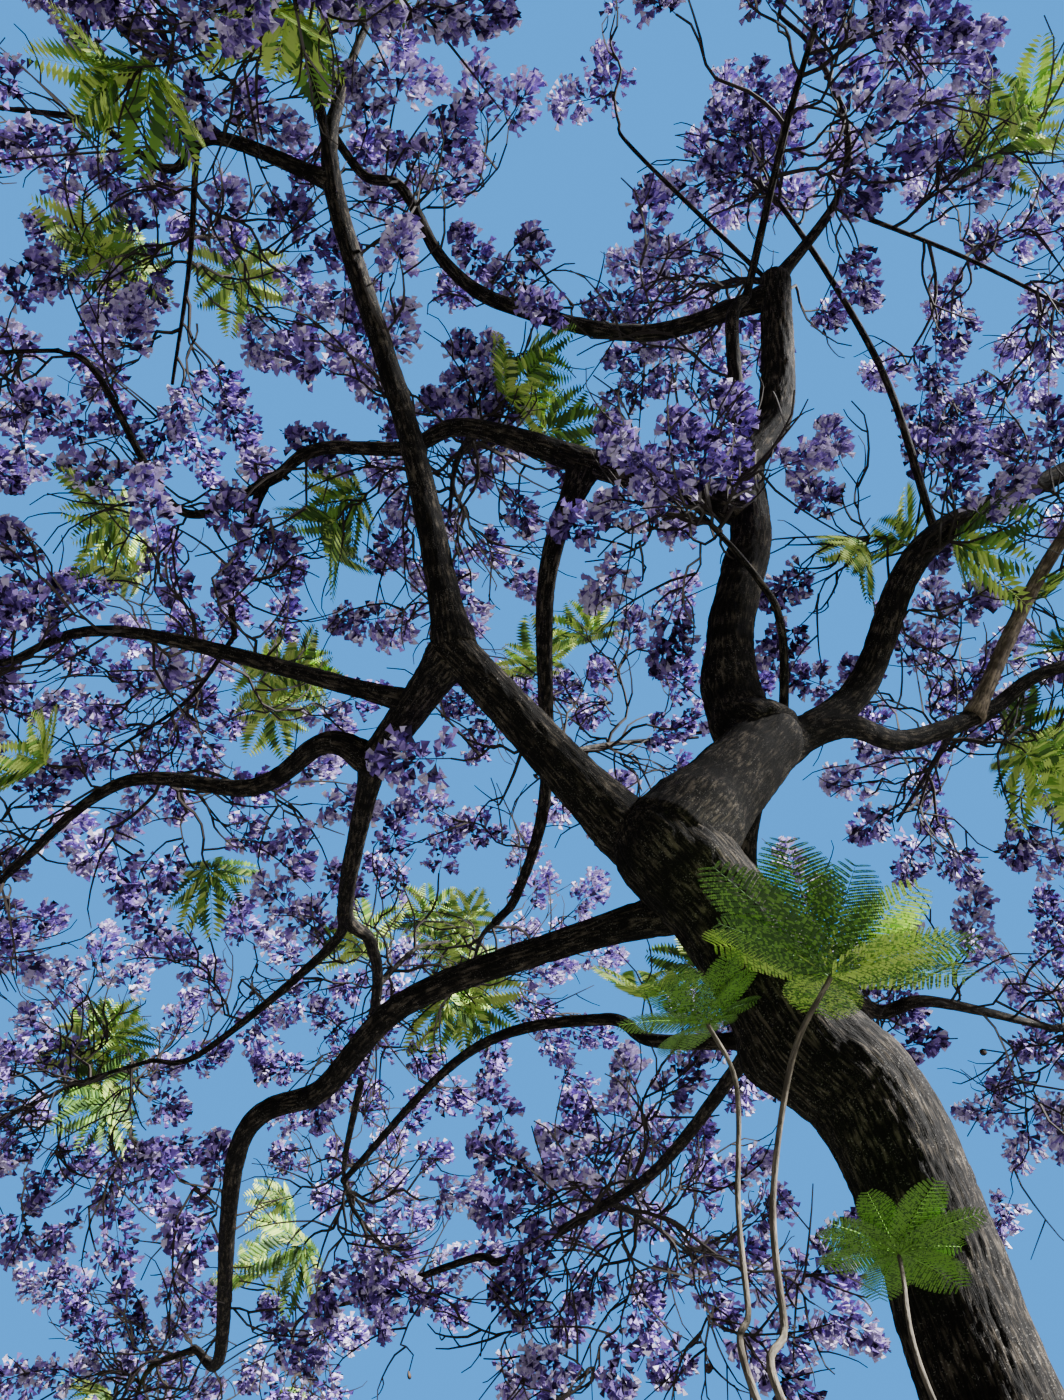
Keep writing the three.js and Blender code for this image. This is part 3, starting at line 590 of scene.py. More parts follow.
def mesh_object(name: str, gathered: Gathered, finishes: list[bpy.types.Material],
                attributes: dict[str, Array] | None = None, smooth: bool = False) -> bpy.types.Object:
    """Makes one object at the origin from gathered patches.

    Args:
        name: The name of the piece.
        gathered: Its patches.
        finishes: Its materials, in the order of the tints.
        attributes: Values for each point: (n,) or (n, 3) arrays by name.
        smooth: Whether its faces are shaded smooth.

    Returns:
        The object, linked to the scene.
    """
    points = np.concatenate(gathered.points)
    faces = np.concatenate(gathered.faces)
    mesh = bpy.data.meshes.new(name)
    mesh.vertices.add(len(points))
    mesh.vertices.foreach_set("co", points.astype(np.float32).ravel())
    mesh.loops.add(faces.size)
    mesh.loops.foreach_set("vertex_index", faces.astype(np.int32).ravel())
    mesh.polygons.add(len(faces))
    mesh.polygons.foreach_set("loop_start", np.arange(0, faces.size, 3, dtype=np.int32))
    mesh.polygons.foreach_set("material_index", np.concatenate(gathered.tints).astype(np.int32))
    mesh.polygons.foreach_set("use_smooth", np.full(len(faces), smooth))
    for key, values in (attributes or {}).items():
        kind, slot = ("FLOAT_VECTOR", "vector") if values.ndim == 2 else ("FLOAT", "value")
        layer = mesh.attributes.new(key, kind, "POINT")
        layer.data.foreach_set(slot, values.astype(np.float32).ravel())
    for finish in finishes:
        mesh.materials.append(finish)
    mesh.update(calc_edges=True)
    mesh.validate()
    thing = bpy.data.objects.new(name, mesh)
    bpy.context.scene.collection.objects.link(thing)
    return thing


def seated(thing: bpy.types.Object, nodes: list[str]) -> bpy.types.Object:
    """Fixes a piece to the tree and says what it stands for.

    Args:
        thing: The piece.
        nodes: The solids that it stands for.

    Returns:
        The piece.
    """
    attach(thing, "root")
    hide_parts(*nodes)
    LOG.info("%s: %d triangles for %s", thing.name, len(thing.data.polygons), ", ".join(nodes))
    return thing


def tube_faces(rings: int, sides: int) -> Array:
    """Numbers the triangles of a closed tube whose points run ring by ring.

    Args:
        rings: How many rings.
        sides: Corners of a ring.

    Returns:
        Triangles, (n, 3), that face outwards. Two more points, the middles of the first and the
        last ring, close the tube by fans.
    """
    ring, corner = np.meshgrid(np.arange(rings - 1), np.arange(sides), indexing="ij")
    low = ring * sides + corner
    onward = ring * sides + (corner + 1) % sides
    walls = np.stack([low, onward, onward + sides, low, onward + sides, low + sides], axis=-1)
    return np.concatenate([walls.reshape(-1, 3), fan(rings * sides, 0, sides, backwards=True),
                           fan(rings * sides + 1, (rings - 1) * sides, sides)])


def repeated(faces: Array, count: int, size: int) -> Array:
    """Numbers the faces, (count, m, 3), of many equal things of `size` points each."""
    return faces[None] + (np.arange(count) * size)[:, None, None]


def thin_tubes(paths: Array, radii: Array, sides: int) -> tuple[Array, Array]:
    """Sweeps a ring of few corners along many paths at once.

    Args:
        paths: Paths, (count, stations, 3).
        radii: Radii, (count, stations).
        sides: Corners of the ring, 3 or more; its ends are closed by fans.

    Returns:
        Points, (count, n, 3), and faces, (count, m, 3).
    """
    steps = np.diff(paths, axis=1)
    joined = np.concatenate([steps[:, :1], (steps[:, 1:] + steps[:, :-1]) / 2, steps[:, -1:]], axis=1)
    ring = round_ways(*cross_frames(unit(joined)), turns(sides))
    walls = paths[:, :, None] + ring * radii[:, :, None, None]
    count, stations = radii.shape
    points = np.concatenate([walls.reshape(count, -1, 3), paths[:, :1], paths[:, -1:]], axis=1)
    return points, repeated(tube_faces(stations, sides), count, points.shape[1])


def soft_noise(u: Array, v: Array, cells: int, rows: int, seed: int) -> Array:
    """Smooth value noise that closes on itself round a limb.

    Args:
        u: Places round the limb, in cells.
        v: Places along it, in rows.
        cells: How many cells go round.
        rows: How many rows there are.
        seed: The seed of its random grid.

    Returns:
        Values from 0 to 1: random grid values mixed by the smooth step 3w^2 - 2w^3.
    """
    grid = np.random.default_rng(seed).random((rows + 3, cells))
    column, row = np.floor(u).astype(int), np.clip(np.floor(v).astype(int), 0, rows)
    a, b = u - column, np.clip(v - row, 0, 1)
    a, b = a * a * (3 - 2 * a), b * b * (3 - 2 * b)
    left, right = column % cells, (column + 1) % cells
    low = lerp(grid[row, left], grid[row, right], a)
    high = lerp(grid[row + 1, left], grid[row + 1, right], a)
    return lerp(low, high, b)


class NodeTree:
    """The node tree of a material or of the world, with short ways to add and fill its nodes."""

    def __init__(self, owner: bpy.types.Material | bpy.types.World) -> None:
        """Opens the tree of its owner."""
        owner.use_nodes = True
        self.nodes, self.links = owner.node_tree.nodes, owner.node_tree.links

    def fill(self, node: bpy.types.Node, inputs: dict[str | int, object]) -> None:
        """Fills sockets of a node.

        Args:
            node: The node.
            inputs: What each socket takes: another node's output, which is linked, or a value.
        """
        for key, value in inputs.items():
            if isinstance(value, bpy.types.NodeSocket):
                self.links.new(value, node.inputs[key])
            else:
                node.inputs[key].default_value = value

    def add(self, kind: str, output: str, inputs: dict[str | int, object],
            **settings: str) -> bpy.types.NodeSocket:
        """Adds a node.

        Args:
            kind: Its kind, without the prefix that all share.
            output: The output that is wanted.
            inputs: What its sockets take.
            settings: Its own settings by name.

        Returns:
            The output.
        """
        node = self.nodes.new(f"ShaderNode{kind}")
        for key, value in settings.items():
            setattr(node, key, value)
        self.fill(node, inputs)
        return node.outputs[output]

    def noise(self, place: bpy.types.NodeSocket, scale: float, detail: float) -> bpy.types.NodeSocket:
        """Adds a noise of a scale and detail that is read at a place."""
        return self.add("TexNoise", "Fac", {"Vector": place, "Scale": scale, "Detail": detail})

    def ramp(self, value: bpy.types.NodeSocket, stops: dict[float, Colour]) -> bpy.types.NodeSocket:
        """Adds a ramp between two colours.

        Args:
            value: The value that it reads.
            stops: The two colours by their positions.

        Returns:
            Its colour.
        """
        colour = self.add("ValToRGB", "Color", {"Fac": value})
        for stop, (position, shade) in zip(colour.node.color_ramp.elements, stops.items()):
            stop.position, stop.color = position, (*shade, 1)
        return colour

    def over(self, base: bpy.types.NodeSocket, colour: Colour, value: bpy.types.NodeSocket,
             limits: tuple[float, float], share: float) -> bpy.types.NodeSocket:
        """Lays a colour over another one where a value is high.

        Args:
            base: The colour underneath.
            colour: The colour on top.
            value: The value that deals it out.
            limits: Where it begins and where it is full.
            share: How much of it is laid on.

        Returns:
            The mixed colour.
        """
        reach = self.add("MapRange", "Result", {"Value": value, "From Min": limits[0],
                                                "From Max": limits[1], "To Max": share})
        return self.add("Mix", "Result", {"Factor": reach, "A": base, "B": (*colour, 1)},
                        data_type="RGBA")


@dataclass(frozen=True)
class BarkFinish:
    """Fissured bark: dark grooves, grey-brown plates with tan flecks, pale lichen specks, and dark bands
    round the limb that are partly its rings and partly painted shadow.

    Its patterns read two attributes of the mesh: `bark_place`, metres round and along the limb,
    and `bark_height`, the mesh's own relief.
    """

    name: str
    groove: Colour
    plate: Colour
    fleck: Colour
    lichen: Colour
    lichen_share: float = 0.6
    fine: float = 170.0
    broad: float = 70.0
    speck: float = 150.0
    # The scale of the dark bands round the limb: partly the bark's rings, partly painted shadow.
    patch: float = 3.6
    along_limb: tuple[float, float, float] = (1.0, 1.0, 0.18)
    round_limb: tuple[float, float, float] = (0.8, 0.8, 3.0)

    def make(self) -> bpy.types.Material:
        """Makes the material.

        Returns:
            The material.
        """
        material = bpy.data.materials.new(self.name)
        tree = NodeTree(material)
        place = tree.add("Attribute", "Vector", {}, attribute_name="bark_place")
        height = tree.add("Attribute", "Fac", {}, attribute_name="bark_height")
        stretched, ringed = (tree.add("Mapping", "Vector", {"Vector": place, "Scale": scale})
                             for scale in (self.along_limb, self.round_limb))
        fine = tree.noise(stretched, self.fine, 5.0)
        grain = tree.ramp(fine, {0.36: self.groove, 0.66: self.plate})
        flecked = tree.over(grain, self.fleck, tree.noise(stretched, self.broad, 7.0), (0.5, 0.64), 0.75)
        pale = tree.over(flecked, self.lichen, tree.noise(place, self.speck, 4.0), (0.6, 0.7),
                         self.lichen_share)
        # Dark bands round the limb in the groove colour: partly the bark's rings, partly painted shadow
        # laid on the bark.
        ringed_and_shaded = tree.over(pale, self.groove, tree.noise(ringed, self.patch, 4.0), (0.44, 0.62), 0.8)
        rise = tree.add("MapRange", "Result", {"Value": height, "From Min": 0.1, "From Max": 0.62})
        deep = tree.add("Mix", "Result", {"Factor": rise, "A": (*self.groove, 1), "B": ringed_and_shaded},
                        data_type="RGBA")
        bump = tree.add("Bump", "Normal", {"Height": fine, "Strength": 0.7, "Distance": 0.006})
        tree.fill(tree.nodes["Principled BSDF"], {
            "Base Color": deep, "Normal": bump, "Roughness": 0.9, "Specular IOR Level": 0.2})
        return material


@dataclass(frozen=True)
class SprayFinish:
    """A petal, leaf or twig in one plain base colour, so that it stays with its own spray."""

    name: str
    colour: Colour
    roughness: float = 0.6
    gloss: float = 0.3

    def make(self) -> bpy.types.Material:
        """Makes the material.

        Returns:
            The material.
        """
        material = bpy.data.materials.new(self.name)
        tree = NodeTree(material)
        tree.fill(tree.nodes["Principled BSDF"], {
            "Base Color": (*self.colour, 1), "Roughness": self.roughness,
            "Specular IOR Level": self.gloss})
        return material


BARK = BarkFinish("dark bark", (0.003, 0.0025, 0.002), (0.011, 0.009, 0.0075), (0.13, 0.105, 0.077),
                  (0.46, 0.43, 0.38), lichen_share=0.45)
PALE_BARK = BarkFinish("pale bark", (0.06, 0.045, 0.033), (0.30, 0.235, 0.165),
                       (0.42, 0.33, 0.23), (0.38, 0.37, 0.33), fine=110.0)
SHOOT_BARK = BarkFinish("shoot bark", (0.10, 0.085, 0.065), (0.30, 0.26, 0.20),
                        (0.36, 0.30, 0.22), (0.40, 0.39, 0.35), fine=190.0)
TWIG_TINTS = (
    SprayFinish("brown twig", (0.032, 0.025, 0.021), 0.85),
    SprayFinish("panicle stalk", (0.050, 0.036, 0.042), 0.8),
)
# From pale lilac to deep violet: the flowers' own tones, with the palest partly a painted highlight and
# the almost black deepest partly painted shade.
PETAL_TINTS = (
    SprayFinish("pale lilac petals", (0.80, 0.71, 0.97), 0.5),
    SprayFinish("lilac petals", (0.40, 0.27, 0.72), 0.5),
    SprayFinish("violet petals", (0.14, 0.075, 0.36), 0.55),
    SprayFinish("deep violet petals", (0.03, 0.017, 0.075), 0.6),
)
# Lit and shaded copies of one green leaf: the sunlit tint is painted light, the glow of leaves with the
# sun behind them, and the deepest is painted shade.
LEAF_TINTS = (
    SprayFinish("sunlit fern leaf", (0.66, 0.88, 0.17), 0.5),
    SprayFinish("green fern leaf", (0.20, 0.42, 0.055), 0.5),
    SprayFinish("deep green fern leaf", (0.055, 0.14, 0.025), 0.5),
)
POD_FINISH = SprayFinish("dry seed pod", (0.075, 0.048, 0.032), 0.7)


class Wood:
    """The wooden lines of the tree, each laid on the one that carries it."""

    def __init__(self) -> None:
        """Lays the trunk and every limb in the order of the table."""
        self.lines: dict[str, CentreLine] = {}
        self.seats: dict[str, float] = {}
        for name, plan in LIMBS.items():
            if not plan.on:
                self.lines[name] = CentreLine(np.zeros(3), plan.legs)
                self.seats[name] = 0.0
                continue
            place = plan.at / len(LIMBS[plan.on].legs)
            self.lines[name] = CentreLine(self.lines[plan.on].point(place), plan.legs)
            self.seats[name] = float(girth_at(LIMBS[plan.on].girth, place))


# Knots: how far along, at what turn in degrees, how broad, and how far out or in, in metres
KNOTS = {
    "trunk": ((4.28, 165, 0.10, 0.055), (4.4, 276, 0.08, 0.03), (4.52, 280, 0.05, -0.03),
              (5.1, 285, 0.07, 0.025), (4.98, 250, 0.05, -0.02), (3.2, 235, 0.09, 0.02)),
    "right_leader": ((0.48, 202, 0.16, 0.04), (1.35, 190, 0.1, 0.015)),
    "bough_right": ((0.3, 300, 0.09, 0.02),),
}


@dataclass
class BarkedLimb:
    """The trunk or a limb with the relief of its bark.

    Its skin is a grid of rings and corners swept along the centre line. The radius is the taper
    between the girths, times the collar where it leaves its carrier, plus the lobed root flare,
    broad uneven swellings, knots, and the grooves of the bark.
    """

    name: str
    plan: LimbPlan
    line: CentreLine
    seat: float
    seed: int
    flare_out: float = 0.135
    flare_rise: float = 0.33
    flare_lobes: int = 5
    flare_depth: float = 0.4
    collar: float = 0.3
    swelling: float = 0.05
    plate: tuple[float, float] = (0.026, 0.085)
    finer: float = 2.3
    fold_share: float = 0.65
    plate_level: float = 0.8
    groove: float = 0.09
    deepest: float = 0.011
    ring_steps: tuple[float, float] = (0.02, 0.034)
    corner_steps: tuple[float, float, float] = (0.0095, 0.0135, 0.015)
    corner_limits: tuple[int, int] = (8, 170)
    stout: float = 0.2
    knuckle: tuple[float, ...] = (18, 36, 54, 72)
    knots: tuple[tuple[float, float, float, float], ...] = ()

    def counts(self) -> tuple[int, int]:
        """Chooses how many rings and corners the skin has: most on the trunk.

        Returns:
            The rings and the corners of one ring.
        """
        girth, trunk = max(self.plan.girth) * MM, self.seat == 0
        step = self.corner_steps[0 if trunk else 1 if girth > self.stout else 2]
        corners = int(np.clip(math.pi * girth / step, *self.corner_limits))
        return max(8, int(self.line.length / self.ring_steps[0 if trunk else 1])), corners

    def taper(self, share: Array, turn: Array) -> Array:
        """Works out the radius without its relief.

        Args:
            share: Shares of the length, (rings, 1).
            turn: Angles round the limb, (1, corners).

        Returns:
            Radii: the girths, with a collar at the foot, or on the trunk the lobed root flare.
        """
        run = share * self.line.length
        radius = girth_at(self.plan.girth, self.line.place_at(share))
        if self.seat > 0:
            return radius * (1 + self.collar * np.exp(-np.maximum(0, run - self.seat) / self.seat))
        lobe = 1 + self.flare_depth * np.cos(self.flare_lobes * turn)
        return radius + self.flare_out * lobe * np.exp(-run / self.flare_rise)

    def relief(self, share: Array, turn: Array, girth: float) -> tuple[Array, Array]:
        """Works out the bark's grooves and the broad swellings under them.

        Args:
            share: Shares of the length, (rings, 1).
            turn: Angles round the limb, (1, corners).
            girth: The limb's mean thickness.

        Returns:
            Heights from 0 in a groove to 1 on a plate, and swellings from 0 to 1.
        """
        run = share * self.line.length
        cells = max(5, round(math.pi * girth / self.plate[0]))
        rows = max(4, round(self.line.length / self.plate[1]))
        wander = 0.9 * np.sin(run * 2.1 + self.seed) + 0.5 * np.sin(run * 5.3 + 2 * self.seed)
        u = turn / (2 * np.pi) * cells + wander
        v = run / self.line.length * rows + 0 * turn
        fold = np.abs(2 * soft_noise(u, v, cells, rows, self.seed) - 1)
        fine = soft_noise(2 * u, self.finer * v, 2 * cells, int(self.finer * rows) + 1, self.seed + 1)
        height = (np.clip(1.9 * fold, 0, 1) * self.fold_share
                  + np.clip(1.7 * np.abs(2 * fine - 1), 0, 1) * (1 - self.fold_share))
        cells, rows = max(3, cells // 5), max(3, rows // 2)
        return height, soft_noise(turn / (2 * np.pi) * cells, run / self.line.length * rows
                                  + 0 * turn, cells, rows, self.seed + 2)

    def skin(self) -> tuple[Array, Array, Array]:
        """Works out the skin.

        Returns:
            Points (rings, corners, 3), heights of the relief (rings, corners) from 0 in a groove
            to 1 on a plate, and places on the bark (rings, corners, 3).
        """
        rings, corners = self.counts()
        share = np.linspace(0.0, 1.0, rings)[:, None]
        turn = (np.pi / 2 + turns(corners))[None]
        run, place = share * self.line.length, self.line.place_at(share[:, 0])
        radius = self.taper(share, turn)
        girth = float(np.mean(radius)) * 2
        height, broad = self.relief(share, turn, girth)
        depth = np.minimum(radius * self.groove, self.deepest)
        reach = radius * (1 + self.swelling * (broad - 0.5)) + depth * (height - self.plate_level)
        for along, round_turn, size, bulge in self.knots:
            angle = np.angle(np.exp(1j * (turn - math.radians(round_turn))))
            reach = reach + bulge * np.exp(-((run - along) / size) ** 2
                                           - (angle * girth / 2 / size) ** 2)
        ring = round_ways(*cross_frames(self.line.tangent(place)), turn)
        points = self.line.point(place)[:, None] + ring * reach[..., None]
        if self.seat == 0:
            points[0, :, 2] = 0.0
        spots = np.stack([radius * np.cos(turn), radius * np.sin(turn),
                          run + 0 * turn + 3.7 * self.seed], axis=-1)
        return points, height, spots

    def patch(self) -> tuple[Array, Array, Array, Array]:
        """Closes the skin, with a round knuckle where the limb forks.

        Returns:
            Points (n, 3), faces (m, 3), heights (n,) and places on the bark (n, 3).
        """
        points, height, spots = self.skin()
        start, end = self.line.point(0.0), self.line.point(1.0)
        onward = self.line.tangent(1.0)
        size = 4 * MM
        if self.plan.forks:
            size = float(girth_at(self.plan.girth, 1.0))
            rise = np.radians(self.knuckle)[:, None, None]
            caps = end + (points[-1] - end) * np.cos(rise) + onward * size * np.sin(rise)
            points = np.concatenate([points, caps])
            height = np.concatenate([height, lerp(0.7, height[-1:], np.cos(rise[..., 0]))])
            middle = spots[-1].mean(axis=0)
            inward = middle + (spots[-1] - middle) * np.cos(rise)
            spots = np.concatenate([spots, inward + UP * size * np.sin(rise)])
        middles = np.array([spots[0].mean(axis=0), spots[-1].mean(axis=0)])
        middles[1] += UP * size * 0.05
        return (np.concatenate([points.reshape(-1, 3), [start, end + onward * size]]),
                tube_faces(*height.shape), np.concatenate([height.ravel(), [0.5, 0.5]]),
                np.concatenate([spots.reshape(-1, 3), middles]))

    def build(self, finish: bpy.types.Material) -> bpy.types.Object:
        """Builds the limb as one closed piece.

        Args:
            finish: Its bark.

        Returns:
            The piece.
        """
        points, faces, height, spots = self.patch()
        gathered = Gathered()
        gathered.add(points, faces)
        attributes = {"bark_height": height, "bark_place": spots}
        return mesh_object(f"{self.name}_bark", gathered, [finish], attributes, smooth=True)


@dataclass
class Stem:
    """The stem of a mass, rod or sucker, with the stream of numbers that its twigs draw from."""

    name: str
    plan: StemPlan
    line: CentreLine
    girth: tuple[float, ...]
    stream: Stream
    spread: float
    site: Array
    order: int

    @classmethod
    def lay(cls, name: str, order: int, wood: Wood) -> "Stem":
        """Lays a stem by the source's rule.

        Args:
            name: The name of its node.
            order: Its place among the stems, which gives its seed.
            wood: The limbs.

        Returns:
            The stem.
        """
        plan = STEMS[name]
        carrier, limb = wood.lines[plan.on], LIMBS[plan.on]
        stream = Stream(11 + 17 * order)
        legs = plan.legs or cls.drooping_legs(plan, stream)
        place = 1.0 if plan.at is None else plan.at / len(limb.legs)
        start = carrier.point(place)
        if plan.at is None:
            start = start + carrier.tangent(1.0) * 0.3 * MM
        line = CentreLine(start, legs)
        fill = 0.96 if plan.at is None else 0.6
        foot = min(2000 * float(girth_at(limb.girth, place)) * fill, 60)
        spread = min(plan.to[0], 2200) * MM if plan.to else 1.3
        site = line.point(line.place_at(0.62)) if plan.to else line.point(1.0)
        return cls(name, plan, line, plan.girth or (foot, 26), stream, spread, site, order)

    @staticmethod
    def drooping_legs(plan: StemPlan, stream: Stream) -> tuple[Leg, Leg]:
        """Splits a stem's reach into two legs and turns and lowers the second one a little.

        Args:
            plan: The stem.
            stream: The numbers that it draws from.

        Returns:
            The two legs.
        """
        reach, heading, climb = plan.to
        turn = (stream.draw() - 0.5) * 36
        droop = 4 + stream.draw() * 10
        return (reach / 2, heading, climb), (reach / 2, heading + turn, climb - droop)


class Room:
    """The room in the crown: each mass's own space, the wood in it, and the sprays so far."""

    PIECE = 0.26
    BARK_ROOM = 1.1

    def __init__(self, wood: Wood, stems: list[Stem]) -> None:
        """Cuts the wood into straight pieces and keeps the middle of each mass's space.

        Args:
            wood: The limbs.
            stems: The stems of masses, rods and suckers.
        """
        starts, ends, radii, owners = [], [], [], []
        lines = [(name, line, LIMBS[name].girth) for name, line in wood.lines.items()]
        lines += [(stem.name, stem.line, stem.girth) for stem in stems]
        for name, line, girth in lines:
            count = max(4, round(line.length / self.PIECE))
            places = line.place_at(np.arange(count + 1) / count)
            points = line.point(places)
            starts.append(points[:-1])
            ends.append(points[1:])
            radii.append(girth_at(girth, places[:-1]) * self.BARK_ROOM)
            owners += [name] * count
        self.starts, self.ends = np.concatenate(starts), np.concatenate(ends)
        self.radii, self.owners = np.concatenate(radii), np.array(owners)
        self.sites = np.array([stem.site for stem in stems])
        self.middles: list[Array] = []
        self.seen: list[Array] = []
        self.low, self.high = np.array(CAD_BOX[0]), np.array(CAD_BOX[1])

    def inside(self, point: Array, room: float, site: Array | None) -> bool:
        """Tells whether a point with room round it lies nearest to its own mass's middle.

        Args:
            point: The point.
            room: The room round it.
            site: The middle of its own mass's space, or None for a twig on a limb.

        Returns:
            Whether it is further than the room from every plane halfway to another middle, and
            within the box of the solids.
        """
        reached = bool(np.all(point > self.low + room * 0.7) and np.all(point < self.high - room * 0.7))
        if site is None or not reached:
            return reached
        gaps = np.linalg.norm(self.sites - site, axis=1)
        others = gaps > 1e-6
        square = ((point - self.sites) ** 2).sum(axis=1) - ((point - site) ** 2).sum()
        return bool(np.all(square[others] / (2 * gaps[others]) > room))

    def clear(self, start: Array, end: Array, radius: float, owner: str) -> bool:
        """Tells whether a straight twig or spray keeps clear of all wood but its own stem.

        Args:
            start: Its start.
            end: Its end.
            radius: Its radius.
            owner: The name of its own wood.

        Returns:
            Whether the nearest points of the two lines are far enough apart for every piece.
        """
        along, other = end - start, self.ends - self.starts
        between = start - self.starts
        aa = max(float(along @ along), TINY)
        bb = np.maximum((other ** 2).sum(axis=1), TINY)
        ab, ac, bc = other @ along, between @ along, (between * other).sum(axis=1)
        spread = aa * bb - ab ** 2
        s = np.clip(np.where(spread > TINY, (ab * bc - ac * bb) / np.maximum(spread, TINY), 0), 0, 1)
        t = np.clip((ab * s + bc) / bb, 0, 1)
        s = np.clip((ab * t - ac) / aa, 0, 1)
        near = start + along * s[:, None] - self.starts - other * t[:, None]
        gap = np.linalg.norm(near, axis=1) - self.radii - radius
        return bool(np.all((gap > 0) | (self.owners == owner)))

    def free(self, middle: Array, spacing: float) -> bool:
        """Tells whether a spray keeps its distance from all sprays so far.

        Args:
            middle: Its middle.
            spacing: The distance.

        Returns:
            Whether no other middle is closer.
        """
        if not self.middles:
            return True
        return bool(np.min(((np.array(self.middles) - middle) ** 2).sum(axis=1)) > spacing ** 2)

    def apart(self, pixel: Array, wide: float) -> bool:
        """Tells whether a spray shows apart from all sprays so far.

        Args:
            pixel: The pixel of its middle.
            wide: Its width in the frame.

        Returns:
            Whether every other middle is further than half of the two widths together.
        """
        if not self.seen:
            return True
        seen = np.array(self.seen)
        away = np.linalg.norm(seen[:, :2] - pixel, axis=1)
        return bool(np.all(away > (seen[:, 2] + wide) / 2))


@dataclass
class Twig:
    """One twig: a chord with a sinuous bend of its own."""

    start: Array
    end: Array
    girth: tuple[float, float]
    phase: float
    stem: str
    quarter: Quarter
    wild: float = 0.1


@dataclass
class Bloom:
    """One spray at the end of a twig."""

    kind: Spray
    root: Array
    along: Array
    length: float
    tint: int
    spin: float
    quarter: Quarter


@dataclass(frozen=True)
class Lifts:
    """How strongly each kind of twig, and the spray at its end, turns up to the sky."""

    side: float = 0.12
    finer: float = 0.15
    limb: float = 0.2
    spray: float = 0.25


def column(things: list[Twig] | list[Bloom], key: str) -> Array:
    """Stacks one field of many twigs or sprays."""
    return np.array([getattr(thing, key) for thing in things])


def twig_paths(twigs: list[Twig], shares: Array) -> Array:
    """Bends twigs.

    Args:
        twigs: The twigs.
        shares: The shares of the chord that are wanted, (m,).

    Returns:
        Points, (n, m, 3): chord + sin(pi s) (wave1 side + wave2 across) - a sag in the middle.
    """
    starts, phases, wilds = column(twigs, "start"), column(twigs, "phase"), column(twigs, "wild")
    chords = column(twigs, "end") - starts
    lengths = np.linalg.norm(chords, axis=1)
    side, across = cross_frames(unit(chords)[:, None])
    s = shares[None]
    fade = np.sin(np.pi * s) * (lengths * wilds)[:, None]
    first = np.sin(2 * np.pi * 0.9 * s + phases[:, None]) * fade
    second = np.sin(2 * np.pi * 1.6 * s + 2.7 * phases[:, None]) * fade * 0.7
    sag = 0.035 * np.sin(np.pi * s) * lengths[:, None]
    return (starts[:, None] + chords[:, None] * s[..., None] + side * first[..., None]
            + across * second[..., None] - UP * sag[..., None])


